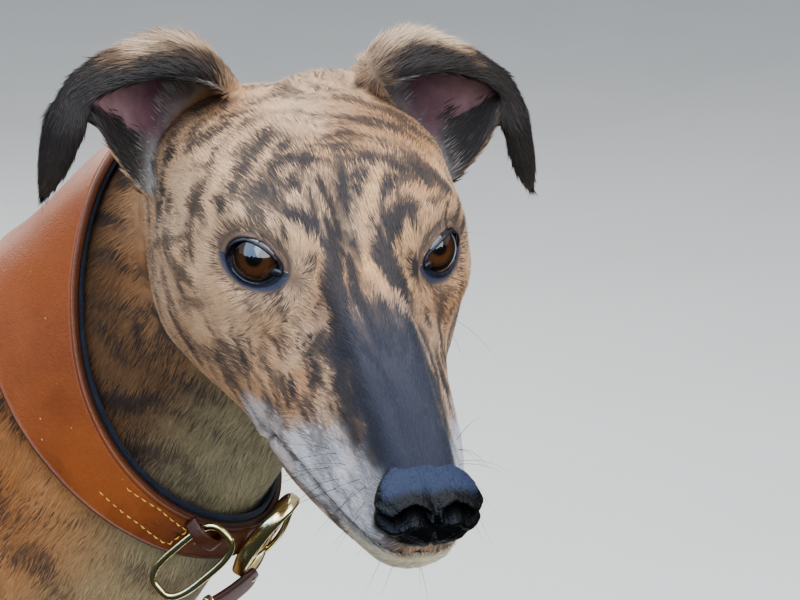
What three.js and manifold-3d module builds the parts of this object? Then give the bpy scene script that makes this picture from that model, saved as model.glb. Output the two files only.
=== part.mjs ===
// A life-size standing greyhound with a brindle coat and a broad leather collar.
// Millimetres, +Z up. It faces -Y, and its own right side is at -X.
// Each part of the body is a loft through rings, joined or parted by solid booleans.

import * as THREE from "three";
import { mergeVertices } from "three/addons/utils/BufferGeometryUtils.js";
import Module from "manifold-3d";

const wasm = await Module();
wasm.setup();

// Driving dimensions
const GAP = 0.3; // clearance between neighbouring parts
const EYES_AT = new THREE.Vector3(-61, -517, 810); // midpoint between the eyes
const HEAD_TURN = 44.6; // degrees to its own right
const HEAD_PITCH = 14.4; // degrees, nose down
const HEAD_ROLL = 2.8; // degrees, left side down
const EYE_RADIUS = 11.7;
const EYE_CENTRE = [0.3, 31.6, 0.3]; // ahead, aside, above, in the head's frame
const LIDS_AT = [6.5, 36.2, 0.2]; // middle of the opening between the lids
const LIDS_TURN = 37; // degrees that the opening faces aside
const LIDS_REACH = [12.8, 5.5, 9]; // half-length, depth and half-height of the opening
const EAR_THICKNESS = 3.6;
const RIGHT_EAR_SPREAD = 4.5; // how much further aside and up the right ear's tip hangs
const STANCE_FORE = 76; // half the distance between the forefeet
const STANCE_HIND = 77; // half the distance between the hind feet
const FORE_HEEL = -246; // how far along the trunk's run the forefeet's heels stand
const HIND_HEEL = 404;
const PAD_SIZE = [17, 13.5, 14]; // the heel pad's half-width, half-length and half-height
const PAD_AHEAD = 7; // from the heel to the pad's middle
const PAD_UP = 11;
const CLAW_SINK = 5; // how deep a claw sits in its toe
const SCRAP = 500; // volume in mm3 under which a cut-off piece is dropped
const COLLAR_FIT = 0.5; // from the neck to the lining
const LINING_THICKNESS = 1.6;
const STRAP_THICKNESS = 3.2;
const COLLAR_AT = new THREE.Vector3(0, -370, 716);
const COLLAR_TILT = 27; // degrees that the collar's axis rises
// Each edge of the collar is a bow: how far ahead its nearest point lies, that point's height and the rate
const COLLAR_HEAD_EDGE = [28.5, -17, 0.0034];
const COLLAR_BODY_EDGE = [-20, 76, 0.0015];
const THROAT_UP = -80; // how low the throat lies in the collar's frame
const RING_ANGLE = 23; // degrees round the throat towards its right side
const RING_SIZE = [42, 19, 3.6]; // across the strap, outwards and bar thickness
const RING_SAG = 11; // how far the ring hangs towards the body
const TAB_SIZE = [22, 21, 3]; // along the strap, across it and leather thickness
const BUCKLE_ANGLE = -9;
const BUCKLE_SIZE = [38, 30, 5, 4.5]; // across the strap, along it, bar width and thickness
const TAIL_STRAP = [38, 17, 3]; // length, width and thickness of the strap's free end
const TAIL_STRAP_ANGLE = 7;
// Cuts between the named parts: a place on the cut, the direction it faces and how far it reaches
const FORELEG_CUTS = [
  [[79, -222, 404], [0, 0, 1], 76],
  [[STANCE_FORE, -226, 160], [0, 0, 1], 60],
];
const HINDLEG_CUTS = [
  [[79, 275, 405], [0, 0.6, -1], 90],
  [[STANCE_HIND, 424, 176], [0, 0, 1], 60],
  [[STANCE_HIND, 418, 66], [0, 0, 1], 60],
];
const TORSO_CUTS = [
  [[0, -300, 640], [0, -0.72, 0.7], 150],
  [[0, 60, 580], [0, 1, 0], 240],
  [[0, 215, 600], [0, 1, 0], 240],
];
const TAIL_CUTS = [
  [[4, 446, 510], [0, 0.2, -1], 30],
  [[15, 474, 305], [0, 0.3, -1], 30],
];
const HEAD_SIDES = 20;
const BODY_SIDES = 16;
const LEG_SIDES = 10;
const TOE_SIDES = 6;

// Trunk stations from the breast to the buttocks:
// along, middle height, half-width, rise to the back, drop to the belly, keel
const TRUNK = [
  [-350, 508, 14, 16, 16, 0],
  [-332, 520, 46, 56, 48, 0],
  [-300, 536, 72, 108, 92, 0.05],
  [-258, 545, 86, 156, 134, 0.12],
  [-210, 546, 94, 177, 155, 0.18],
  [-150, 542, 99, 178, 160, 0.2],
  [-80, 544, 102, 172, 160, 0.2],
  [-10, 556, 99, 166, 152, 0.16],
  [50, 578, 88, 151, 136, 0.1],
  [105, 604, 74, 133, 116, 0.05],
  [155, 630, 64, 109, 98, 0],
  [205, 640, 65, 96, 97, 0],
  [255, 640, 76, 87, 102, 0],
  [305, 630, 82, 78, 98, 0],
  [350, 612, 74, 66, 84, 0],
  [385, 592, 54, 52, 60, 0],
  [406, 580, 24, 24, 26, 0],
];

// Neck stations from the shoulders to the skull: x, y, z, half-width, nape, throat
const NECK = [
  [0, -215, 575, 84, 98, 112],
  [0, -272, 620, 75, 99, 108],
  [0, -328, 668, 63, 93, 95],
  [0, -386, 727, 53, 76, 77],
  [-1, -428, 778, 48, 65, 68],
  [-5, -462, 818, 44, 44, 60],
  [-14, -486, 848, 34, 24, 34],
];

// Head stations from the poll to the lips, in the head's frame: distance ahead of the eyes,
// top of the midline, then half-width and height of crown, brow, cheek and jowl, then the underside
const HEAD = [
  [-126, -2, 10, -4, 20, -12, 24, -26, 18, -42, -48],
  [-118, 9, 18, 5, 36, -7, 41, -28, 33, -54, -64],
  [-102, 20.5, 25, 17, 48, 2, 53, -28, 42, -64, -75],
  [-78, 29, 29, 25.5, 55, 8, 59, -26, 46.5, -68, -80],
  [-54, 30, 29, 28.5, 54, 14, 59.5, -20, 49, -66, -80],
  [-34, 28, 28, 27.5, 51.5, 16, 58.5, -13, 48.5, -62, -77],
  [-16, 24, 24, 24.5, 48, 14.5, 56, -12, 46, -61, -74],
  [0, 17.5, 19.5, 18.5, 41, 11.5, 50, -17, 41.5, -60, -71],
  [16, 9.5, 15, 11, 24.5, 3.5, 40, -25, 36.5, -60, -69],
  [34, 2, 12, 2, 20, -6, 35, -29, 33.5, -60, -68],
  [56, -4.5, 10, -5, 18, -13, 29.5, -31, 30.5, -60, -67.5],
  [80, -10.5, 9.5, -11, 15.5, -18, 23.5, -32, 24.5, -59, -67],
  [100, -16, 9, -17, 14.5, -23.5, 19, -36, 17.5, -58, -67],
  [111, -21.5, 8, -22.5, 12, -28, 16, -39, 14, -56, -63],
  [118, -29, 6, -30, 9, -34, 11, -42, 9, -51, -55],
];

// Nose pad stations: ahead, middle height, half-width, rise, drop
const NOSE = [
  [104, -26, 11, 5.5, 9],
  [109, -28, 15.8, 7.5, 12],
  [114, -29.5, 18.3, 8, 13.5],
  [119, -31, 18, 7.8, 13.2],
  [124, -32.5, 14, 6.2, 10],
  [126.5, -33, 7, 3.5, 5.5],
];

// The slit of the mouth, ahead and above in the head's frame, from the front to behind the lip's corner
const MOUTH_SLIT = [[145, -47], [118, -50.5], [96, -50.5], [66, -47.5], [44, -50], [33, -60], [26, -95]];

// Ear stations from the root to the tip, in the head's frame on the left side. Each is a half oval through
// the rim next to the skull, the middle of the back and the outer rim: ahead, aside and above for each
const EAR = [
  [-76, 24, 28, -97, 30, 10, -66, 50, -14],
  [-69, 35, 37, -101, 43, 27, -60, 62, -8],
  [-68, 47, 41, -102, 55, 34, -59, 69, 0],
  [-70, 60, 40, -99, 67, 34, -59, 75, 9],
  [-70, 72, 36, -92, 79, 34, -62, 80, 18],
  [-67, 80, 29, -81, 89, 31, -70, 86, 20],
  [-62, 82, 17, -68, 93, 22, -78, 92, 18],
  [-61, 85, 6, -62, 95, 10, -74, 96, 10],
  [-61, 89, -3, -59, 97, -1, -68, 98, 0],
  [-60, 95, -10, -59, 98, -10, -62, 99, -9],
];

// Foreleg stations from the shoulder blade to the pastern, on the left side:
// x, y, z, half-width, reach forwards, reach backwards
const FORELEG = [
  [40, -196, 692, 12, 26, 26],
  [58, -214, 650, 22, 44, 46],
  [69, -246, 600, 26, 50, 58],
  [69, -280, 548, 26, 44, 66],
  [75, -262, 486, 25, 46, 62],
  [79, -230, 424, 21, 32, 44],
  [79, -216, 388, 19, 25, 32],
  [78.5, -220, 345, 18, 23, 24],
  [78, -224, 290, 15.5, 18, 18.5],
  [77, -225, 230, 13, 14.5, 14.5],
  [STANCE_FORE, -226, 190, 14, 14.5, 14],
  [STANCE_FORE, -226, 168, 15.5, 16, 16],
  [STANCE_FORE, -226, 140, 14, 12.5, 14],
  [STANCE_FORE, -230, 95, 15, 12.5, 14],
  [STANCE_FORE, -240, 58, 20, 15, 20],
  [STANCE_FORE, -256, 26, 22, 12, 20],
];

// Hind leg stations from the hip to the pastern, on the left side
const HINDLEG = [
  [46, 296, 680, 16, 34, 34],
  [54, 300, 645, 30, 60, 62],
  [62, 300, 590, 37, 78, 88],
  [67, 290, 520, 37, 76, 84],
  [74, 270, 455, 31, 56, 78],
  [78, 268, 410, 25, 40, 64],
  [79.5, 296, 360, 20.5, 31, 46],
  [79, 340, 303, 17.5, 21, 30],
  [78, 388, 246, 13, 16, 21],
  [77.5, 418, 205, 14.5, 17, 22],
  [STANCE_HIND, 427, 178, 14.5, 16, 17],
  [STANCE_HIND, 427, 145, 12.5, 13, 13.5],
  [STANCE_HIND, 424, 95, 13, 12.5, 13],
  [STANCE_HIND, 416, 58, 18, 14, 18],
  [STANCE_HIND, 400, 26, 21, 12, 18],
];

// Tail stations from the croup to the tip: x, y, z, radius
const TAIL = [
  [0, 372, 628, 18],
  [0, 402, 612, 18],
  [1, 430, 572, 15],
  [4, 446, 510, 12],
  [8, 454, 440, 10],
  [12, 460, 370, 8.5],
  [15, 474, 305, 7],
  [17, 500, 248, 6],
  [18, 534, 208, 4.8],
  [18, 560, 192, 3],
];

// One paw: for each toe from the inside out, its offset aside and how far its tip reaches
const TOES = [
  [-17.5, 40],
  [-6.5, 50],
  [6.5, 50],
  [17.5, 41],
];
// A toe's rings: share of its offset aside, distance ahead of the heel, height and radius.
// The last two rings count their distance back from the toe's reach.
const TOE_RINGS = [
  [0.75, 0, 33, 11.5],
  [1, 24, 26, 10.5],
  [1.05, 12, 10, 10.5],
  [1.07, 0, 7, 6.8],
];
const TOE_WIDTH = 0.86; // a toe's width for its height
const CLAW_LENGTH = 15;
const CLAW_RADIUS = 3.6;
const CLAW_HEIGHT = 11.5;
const CLAW_WIDTH = 0.7; // a claw's width for its height
const CLAW_TAPER = 0.8; // how much of the radius is lost at the point
const CLAW_DROP = 0.45; // how far the point drops for its length

const materials = {
  coat: new THREE.MeshStandardMaterial({ color: 0xa87f55, roughness: 0.75, metalness: 0 }),
  ear: new THREE.MeshStandardMaterial({ color: 0x3a322c, roughness: 0.8, metalness: 0 }),
  nose: new THREE.MeshStandardMaterial({ color: 0x17181b, roughness: 0.45, metalness: 0 }),
  eye: new THREE.MeshStandardMaterial({ color: 0x2a1508, roughness: 0.05, metalness: 0 }),
  claw: new THREE.MeshStandardMaterial({ color: 0x2b2622, roughness: 0.5, metalness: 0 }),
  leather: new THREE.MeshStandardMaterial({ color: 0x9c5224, roughness: 0.45, metalness: 0 }),
  lining: new THREE.MeshStandardMaterial({ color: 0x24242c, roughness: 0.7, metalness: 0 }),
  brass: new THREE.MeshStandardMaterial({ color: 0xd9c586, roughness: 0.2, metalness: 1 }),
};

const X = new THREE.Vector3(1, 0, 0);
const Z = new THREE.Vector3(0, 0, 1);

// A smooth row of numbers at a place between the rows of a table, 0 at the first and 1 at the last.
function rowAt(rows, place) {
  const scaled = Math.min(Math.max(place, 0), 1) * (rows.length - 1);
  const i = Math.min(Math.floor(scaled), rows.length - 2);
  const t = scaled - i;
  const before = rows[Math.max(i - 1, 0)];
  const after = rows[Math.min(i + 2, rows.length - 1)];
  return rows[i].map((a, k) => {
    const b = rows[i + 1][k];
    const leave = (b - before[k]) / 2;
    const arrive = (after[k] - a) / 2;
    const bend = 2 * a - 2 * b + leave + arrive;
    const sweep = -3 * a + 3 * b - 2 * leave - arrive;
    return ((bend * t + sweep) * t + leave) * t + a;
  });
}

// Every row of a table with steps - 1 rows put in between each two.
function fineRows(rows, steps) {
  const count = (rows.length - 1) * steps;
  return Array.from({ length: count + 1 }, (_, i) => rowAt(rows, i / count));
}

// A closed surface through rings of equal length, with a fan over each end.
function loft(rings) {
  const sides = rings[0].length;
  const positions = [];
  for (const ring of rings) {
    for (const point of ring) positions.push(point.x, point.y, point.z);
  }
  const index = [];
  for (let i = 0; i < rings.length - 1; i++) {
    for (let k = 0; k < sides; k++) {
      const a = i * sides + k;
      const b = i * sides + ((k + 1) % sides);
      index.push(a, b, a + sides, b, b + sides, a + sides);
    }
  }
  for (const end of [0, rings.length - 1]) {
    const middle = new THREE.Vector3();
    for (const point of rings[end]) middle.addScaledVector(point, 1 / sides);
    const centre = positions.length / 3;
    positions.push(middle.x, middle.y, middle.z);
    for (let k = 0; k < sides; k++) {
      const a = end * sides + k;
      const b = end * sides + ((k + 1) % sides);
      if (end === 0) index.push(centre, b, a);
      else index.push(centre, a, b);
    }
  }
  const geometry = new THREE.BufferGeometry();
  geometry.setAttribute("position", new THREE.Float32BufferAttribute(positions, 3));
  geometry.setIndex(index);
  return geometry;
}

// A solid from a closed geometry, turned the right way out.
function solid(geometry, matrix) {
  const copy = geometry.clone();
  copy.deleteAttribute("normal");
  copy.deleteAttribute("uv");
  if (matrix) copy.applyMatrix4(matrix);
  const merged = mergeVertices(copy, 1e-4);
  const vertProperties = new Float32Array(merged.attributes.position.array);
  const triVerts = new Uint32Array(merged.index.array);
  const made = new wasm.Manifold(new wasm.Mesh({ numProp: 3, vertProperties, triVerts }));
  if (made.volume() > 0) return made;
  for (let i = 0; i < triVerts.length; i += 3) {
    [triVerts[i + 1], triVerts[i + 2]] = [triVerts[i + 2], triVerts[i + 1]];
  }
  return new wasm.Manifold(new wasm.Mesh({ numProp: 3, vertProperties, triVerts }));
}

// The largest of a solid's separate bodies.
function largest(parted) {
  return parted.decompose().reduce((a, b) => (a.volume() > b.volume() ? a : b));
}

// An oval ring whose upper and lower halves have their own reach; keel narrows the lower half.
function oval(centre, side, up, wide, over, under, sides, keel = 0) {
  return Array.from({ length: sides }, (_, k) => {
    const angle = (2 * Math.PI * k) / sides;
    const height = Math.sin(angle);
    const width = wide * Math.cos(angle) * (1 - keel * Math.max(0, -height) ** 2);
    const reach = height > 0 ? over : under;
    return centre.clone().addScaledVector(side, width).addScaledVector(up, reach * height);
  });
}

// Rings across a bent part. Rows hold x, y, z and three reaches: aside, ahead of the path and behind it.
function limbRings(rows, sides, grow) {
  const centres = rows.map((row) => new THREE.Vector3(row[0], row[1], row[2]));
  return rows.map((row, i) => {
    const before = centres[Math.max(i - 1, 0)];
    const after = centres[Math.min(i + 1, rows.length - 1)];
    const tangent = after.clone().sub(before).normalize();
    const ahead = tangent.clone().cross(X).normalize();
    const side = ahead.clone().cross(tangent).normalize();
    return oval(centres[i], side, ahead, row[3] + grow, row[4] + grow, row[5] + grow, sides);
  });
}

// The frame of the head: columns ahead, aside to its left and above, at the midpoint of the eyes.
function headMatrix() {
  const turn = new THREE.Matrix4().makeRotationZ(THREE.MathUtils.degToRad(-HEAD_TURN));
  const pitch = new THREE.Matrix4().makeRotationX(THREE.MathUtils.degToRad(HEAD_PITCH));
  const roll = new THREE.Matrix4().makeRotationY(THREE.MathUtils.degToRad(HEAD_ROLL));
  const axes = new THREE.Matrix4().makeBasis(new THREE.Vector3(0, -1, 0), X, Z);
  return new THREE.Matrix4().makeTranslation(EYES_AT).multiply(turn).multiply(pitch).multiply(roll)
    .multiply(axes);
}

const toWorld = headMatrix();

// The head's outline at one station, a closed curve through the named heights and widths.
function headRing(row, grow) {
  const [ahead, top, crownW, crownH, browW, browH, cheekW, cheekH, jowlW, jowlH, under] = row;
  const half = [[crownW, crownH], [browW, browH], [cheekW, cheekH], [jowlW, jowlH]];
  const left = half.map(([w, h]) => new THREE.Vector3(ahead, w + grow, h));
  const right = half.map(([w, h]) => new THREE.Vector3(ahead, -w - grow, h)).reverse();
  const start = new THREE.Vector3(ahead, 0, top + grow);
  const end = new THREE.Vector3(ahead, 0, under - grow);
  const curve = new THREE.CatmullRomCurve3([start, ...left, end, ...right], true, "centripetal");
  return Array.from({ length: HEAD_SIDES }, (_, k) => curve.getPoint(k / HEAD_SIDES));
}

function headSolid(grow) {
  const rings = fineRows(HEAD, 2).map((row) => headRing(row, grow));
  return solid(loft(rings), toWorld);
}

function noseSolid(grow) {
  const rings = NOSE.map(([ahead, middle, wide, over, under]) => {
    const centre = new THREE.Vector3(ahead, 0, middle);
    return oval(centre, new THREE.Vector3(0, 1, 0), Z, wide + grow, over + grow, under + grow, 14);
  });
  return solid(loft(rings), toWorld);
}

// The mouth's slit: a thin bent sheet across the whole jaw.
function mouthCut() {
  const shape = new THREE.Shape();
  const curve = new THREE.CatmullRomCurve3(MOUTH_SLIT.map(([a, u]) => new THREE.Vector3(a, u, 0)));
  const line = curve.getPoints(14);
  line.forEach((point, i) => (i ? shape.lineTo(point.x, point.y) : shape.moveTo(point.x, point.y)));
  for (const point of [...line].reverse()) shape.lineTo(point.x - GAP, point.y + GAP);
  const breadth = 120;
  const sheet = new THREE.ExtrudeGeometry(shape, { depth: breadth, bevelEnabled: false });
  sheet.translate(0, 0, -breadth / 2).rotateX(Math.PI / 2);
  return solid(sheet, toWorld);
}

// One ear: a leather of even thickness, its sections half ovals carried from the root to the tip.
function earSolid(side, grow) {
  const across = 7;
  const rings = EAR.map((row, i) => {
    const spread = side < 0 ? RIGHT_EAR_SPREAD * THREE.MathUtils.smoothstep(i, 3, 7) : 0;
    const rim = new THREE.Vector3(row[0], row[1] + spread, row[2] + spread);
    const back = new THREE.Vector3(row[3], row[4] + spread, row[5] + spread);
    const outerRim = new THREE.Vector3(row[6], row[7] + spread, row[8] + spread);
    const middle = rim.clone().add(outerRim).multiplyScalar(0.5);
    const half = rim.sub(middle);
    const depth = back.sub(middle);
    const sheet = (share, inset) => {
      const angle = share * (Math.PI / 2 + grow / depth.length());
      const point = half.clone().multiplyScalar(Math.sin(angle)).addScaledVector(depth, Math.cos(angle));
      const reach = point.length();
      const kept = Math.max(reach - inset, 0.4 * reach);
      return point.multiplyScalar(kept / reach).add(middle);
    };
    const outside = [];
    const inside = [];
    for (let k = 0; k <= across; k++) {
      const share = (2 * k) / across - 1;
      outside.push(sheet(share, -grow));
      inside.push(sheet(-share, EAR_THICKNESS + grow));
    }
    return [...outside, ...inside];
  });
  const mirror = new THREE.Matrix4().makeScale(1, side, 1);
  return solid(loft(rings), toWorld.clone().multiply(mirror));
}

function eyeSolid(side, grow) {
  const [ahead, aside, above] = EYE_CENTRE;
  const ball = new THREE.SphereGeometry(EYE_RADIUS + grow, 12, 8);
  return solid(ball.translate(ahead, side * aside, above), toWorld);
}

// The hollow between the lids that shows the eye.
function lidsSolid(side) {
  const hollow = new THREE.SphereGeometry(1, 12, 6).scale(LIDS_REACH[0], LIDS_REACH[1], LIDS_REACH[2]);
  hollow.rotateZ(THREE.MathUtils.degToRad(90 + LIDS_TURN)).translate(...LIDS_AT);
  return solid(hollow, toWorld.clone().multiply(new THREE.Matrix4().makeScale(1, side, 1)));
}

function trunkSolid() {
  const rings = TRUNK.map(([along, middle, wide, over, under, keel]) =>
    oval(new THREE.Vector3(0, along, middle), X, Z, wide, over, under, BODY_SIDES, keel),
  );
  return solid(loft(rings));
}

function neckSolid(grow) {
  return solid(loft(limbRings(fineRows(NECK, 2), BODY_SIDES, grow)));
}

function tailSolid(grow) {
  const rows = TAIL.map(([x, y, z, r]) => [x, y, z, r, r, r]);
  return solid(loft(limbRings(rows, 8, grow)));
}

// A thin disc that parts a limb or the trunk across its run.
function slit(at, normal, radius) {
  const turn = new THREE.Quaternion().setFromUnitVectors(
    new THREE.Vector3(0, 1, 0),
    new THREE.Vector3(...normal).normalize(),
  );
  const place = new THREE.Matrix4().compose(new THREE.Vector3(...at), turn, new THREE.Vector3(1, 1, 1));
  return solid(new THREE.CylinderGeometry(radius, radius, GAP, 24), place);
}

const ground = solid(new THREE.BoxGeometry(2000, 3000, 400).translate(0, 0, -200));

// The rings of one toe, from inside the paw over the knuckle to the tip.
function toeSolid(heel, aside, reach) {
  const rings = TOE_RINGS.map(([share, ahead, height, radius], i) => {
    const y = i < TOE_RINGS.length / 2 ? heel.y - ahead : heel.y - reach + ahead;
    return [heel.x + aside * share, y, height, radius * TOE_WIDTH, radius, radius];
  });
  return solid(loft(limbRings(rings, TOE_SIDES, 0)));
}

// One claw, a short bent cone that leaves the toe's tip and points at the floor.
function clawSolid(from, length, radius, grow) {
  const steps = 2;
  const rows = [];
  for (let i = 0; i <= steps; i++) {
    const t = i / steps;
    const size = radius * (1 - CLAW_TAPER * t ** 1.4);
    const y = from.y + CLAW_SINK - length * t;
    const z = from.z - CLAW_DROP * length * t ** 2;
    rows.push([from.x, y, z, size * CLAW_WIDTH, size, size]);
  }
  return solid(loft(limbRings(rows, 4, grow)));
}

// A paw's toes, its pad and its claws round the end of a leg.
function paw(leg, heel, name, claws) {
  let made = leg;
  const pad = new THREE.SphereGeometry(1, 6, 4).scale(...PAD_SIZE);
  made = made.add(solid(pad.translate(heel.x, heel.y - PAD_AHEAD, PAD_UP)));
  TOES.forEach(([aside, reach], i) => {
    const sideways = Math.sign(heel.x) * aside;
    made = made.add(toeSolid(heel, sideways, reach));
    const tip = new THREE.Vector3(heel.x + sideways * TOE_RINGS.at(-1)[0], heel.y - reach, CLAW_HEIGHT);
    claws.push([name + "_" + (i + 1), tip, CLAW_LENGTH, CLAW_RADIUS]);
  });
  return made.subtract(ground);
}

// The collar's frame: its axis towards the head, and its own up towards the nape.
const tilt = THREE.MathUtils.degToRad(COLLAR_TILT);
const collarAxis = new THREE.Vector3(0, -Math.cos(tilt), Math.sin(tilt));
const collarUp = new THREE.Vector3(0, Math.sin(tilt), Math.cos(tilt));
const collarFrame = new THREE.Matrix4().makeBasis(collarAxis, collarUp, X).setPosition(COLLAR_AT);

// How far ahead an edge of the collar lies at a height in the collar's frame.
function edgeAt([nearest, height, rate], up) {
  return nearest + rate * (up - height) ** 2;
}

// The room that the collar takes along the neck, between its two bowed edges.
function collarRegion(trim) {
  const reach = 120;
  const steps = 12;
  const heights = Array.from({ length: steps + 1 }, (_, i) => -reach + (2 * reach * i) / steps);
  const shape = new THREE.Shape();
  heights.forEach((up, i) => {
    const ahead = edgeAt(COLLAR_HEAD_EDGE, up) - trim;
    if (i) shape.lineTo(ahead, up);
    else shape.moveTo(ahead, up);
  });
  for (const up of [...heights].reverse()) shape.lineTo(edgeAt(COLLAR_BODY_EDGE, up) + trim, up);
  const block = new THREE.ExtrudeGeometry(shape, { depth: 2 * reach, bevelEnabled: false });
  return solid(block.translate(0, 0, -reach), collarFrame);
}

// One layer of the collar, of even thickness all round the neck.
function collarLayer(inside, outside, trim) {
  return neckSolid(outside).subtract(neckSolid(inside)).intersect(collarRegion(trim));
}

// The frame on the strap's outer face at an angle round the throat: along the strap, across it, outwards.
function onStrap(degrees, face, lift) {
  const throatAhead = (edgeAt(COLLAR_HEAD_EDGE, THROAT_UP) + edgeAt(COLLAR_BODY_EDGE, THROAT_UP)) / 2;
  const from = COLLAR_AT.clone().addScaledVector(collarAxis, throatAhead);
  const turn = (angle) => {
    const a = THREE.MathUtils.degToRad(angle);
    return collarUp.clone().multiplyScalar(-Math.cos(a)).addScaledVector(X, -Math.sin(a));
  };
  const hit = (angle) => new THREE.Raycaster(from, turn(angle)).intersectObject(face).at(-1).point;
  const along = hit(degrees + 5).sub(hit(degrees - 5)).normalize();
  const outwards = along.clone().cross(collarAxis).normalize();
  if (outwards.dot(turn(degrees)) < 0) outwards.negate();
  const across = outwards.clone().cross(along);
  const at = hit(degrees).addScaledVector(outwards, lift);
  return new THREE.Matrix4().makeBasis(along, across, outwards).setPosition(at);
}

// A closed band in the plane: a rounded outline with a like hole in it.
function bandSolid(length, height, bar, depth, corner, grow, frame) {
  const outline = (shape, x, y, r) => {
    shape.moveTo(-x + r, -y);
    shape.lineTo(x - r, -y);
    shape.absarc(x - r, -y + r, r, -Math.PI / 2, 0, false);
    shape.absarc(x - r, y - r, r, 0, Math.PI / 2, false);
    shape.absarc(-x + r, y - r, r, Math.PI / 2, Math.PI, false);
    shape.absarc(-x + r, -y + r, r, Math.PI, Math.PI * 1.5, false);
    return shape;
  };
  const shape = outline(new THREE.Shape(), length / 2 + grow, height / 2 + grow, corner + grow);
  const inset = bar + grow;
  shape.holes.push(outline(new THREE.Path(), length / 2 - inset, height / 2 - inset, corner - inset));
  const settings = { depth: depth + 2 * grow, bevelEnabled: false, curveSegments: 3 };
  const band = new THREE.ExtrudeGeometry(shape, settings);
  return solid(band.translate(0, 0, -depth / 2 - grow), frame);
}

const group = new THREE.Group();

function place(name, shape, material) {
  const data = shape.getMesh();
  const geometry = new THREE.BufferGeometry();
  geometry.setAttribute("position", new THREE.BufferAttribute(new Float32Array(data.vertProperties), 3));
  geometry.setIndex(new THREE.BufferAttribute(new Uint32Array(data.triVerts), 1));
  const mesh = new THREE.Mesh(geometry, material);
  mesh.name = name;
  group.add(mesh);
}

// Cuts a solid with slits and names its bodies from the top one down, or from the front one back.
function part(shape, slits, names, axis, material) {
  let cut = shape;
  for (const one of slits) cut = cut.subtract(one);
  const middle = (body) => {
    const box = body.boundingBox();
    return (box.min[axis] + box.max[axis]) / 2;
  };
  const bodies = cut.decompose().filter((body) => body.volume() > SCRAP);
  bodies.sort((a, b) => (axis === 2 ? middle(b) - middle(a) : middle(a) - middle(b)));
  if (bodies.length !== names.length) throw new Error(names[0] + " gave " + bodies.length + " bodies");
  bodies.forEach((body, i) => place(names[i], body, material));
}

const SIDES = [["left", 1], ["right", -1]];

// Head, jaw, nose, ears and eyes
let head = headSolid(0).subtract(noseSolid(GAP));
for (const [name, side] of SIDES) {
  const ear = earSolid(side, 0);
  head = head.subtract(earSolid(side, GAP)).subtract(eyeSolid(side, GAP)).subtract(lidsSolid(side));
  place("ear_" + name, ear, materials.ear);
  place("eye_" + name, eyeSolid(side, 0), materials.eye);
}
part(head, [mouthCut()], ["head", "lower_jaw"], 2, materials.coat);
place("nose", noseSolid(0), materials.nose);

// Legs with their paws; the trunk is cut back round them
const claws = [];
const legs = [];
for (const [name, side] of SIDES) {
  const mirrored = (rows) => rows.map(([x, ...rest]) => [side * x, ...rest]);
  const fore = mirrored(FORELEG);
  const hind = mirrored(HINDLEG);
  const foreHeel = new THREE.Vector3(side * STANCE_FORE, FORE_HEEL, 0);
  const hindHeel = new THREE.Vector3(side * STANCE_HIND, HIND_HEEL, 0);
  const foreleg = paw(solid(loft(limbRings(fore, LEG_SIDES, 0))), foreHeel, "claw_fore_" + name, claws);
  const hindleg = paw(solid(loft(limbRings(hind, LEG_SIDES, 0))), hindHeel, "claw_hind_" + name, claws);
  legs.push([solid(loft(limbRings(fore, LEG_SIDES, GAP))), solid(loft(limbRings(hind, LEG_SIDES, GAP)))]);
  let fores = foreleg;
  let hinds = hindleg;
  for (const [clawName, tip, length, radius] of claws.slice(-8)) {
    const bed = clawSolid(tip, length, radius, GAP);
    if (clawName.includes("fore")) fores = fores.subtract(bed);
    else hinds = hinds.subtract(bed);
    place(clawName, clawSolid(tip, length, radius, 0), materials.claw);
  }
  const cutsOf = (cuts) => cuts.map(([[x, y, z], ...rest]) => slit([side * x, y, z], ...rest));
  const foreNames = ["foreleg_upper_", "foreleg_lower_", "forepaw_"].map((n) => n + name);
  part(fores, cutsOf(FORELEG_CUTS), foreNames, 2, materials.coat);
  const hindNames = ["thigh_", "gaskin_", "hind_cannon_", "hind_paw_"].map((n) => n + name);
  part(hinds, cutsOf(HINDLEG_CUTS), hindNames, 2, materials.coat);
}

// Trunk, neck and tail
let torso = trunkSolid().add(neckSolid(0)).subtract(tailSolid(GAP));
for (const pair of legs) torso = torso.subtract(pair[0]).subtract(pair[1]);
torso = torso.subtract(headSolid(GAP));
for (const [, side] of SIDES) torso = torso.subtract(earSolid(side, GAP));
const underCollar = slit(COLLAR_AT.toArray(), collarAxis.toArray(), 110);
const torsoSlits = [underCollar, ...TORSO_CUTS.map((cut) => slit(...cut))];
part(largest(torso), torsoSlits, ["neck_upper", "neck_lower", "chest", "loin", "croup"], 1,
  materials.coat);
const tailSlits = TAIL_CUTS.map((cut) => slit(...cut));
part(tailSolid(0), tailSlits, ["tail_base", "tail_middle", "tail_tip"], 2, materials.coat);

// Collar: lining, strap, ring, buckle and the leather that holds them
const strapInside = COLLAR_FIT + LINING_THICKNESS + GAP;
const strapOutside = strapInside + STRAP_THICKNESS;
const clearOfStrap = neckSolid(strapOutside + GAP);
place("collar_lining", collarLayer(COLLAR_FIT, COLLAR_FIT + LINING_THICKNESS, 0), materials.lining);
place("collar_strap", collarLayer(strapInside, strapOutside, 1.2), materials.leather);
const strapFace = new THREE.Mesh(loft(limbRings(fineRows(NECK, 2), BODY_SIDES, strapOutside)),
  new THREE.MeshStandardMaterial({ side: THREE.DoubleSide }));

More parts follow.
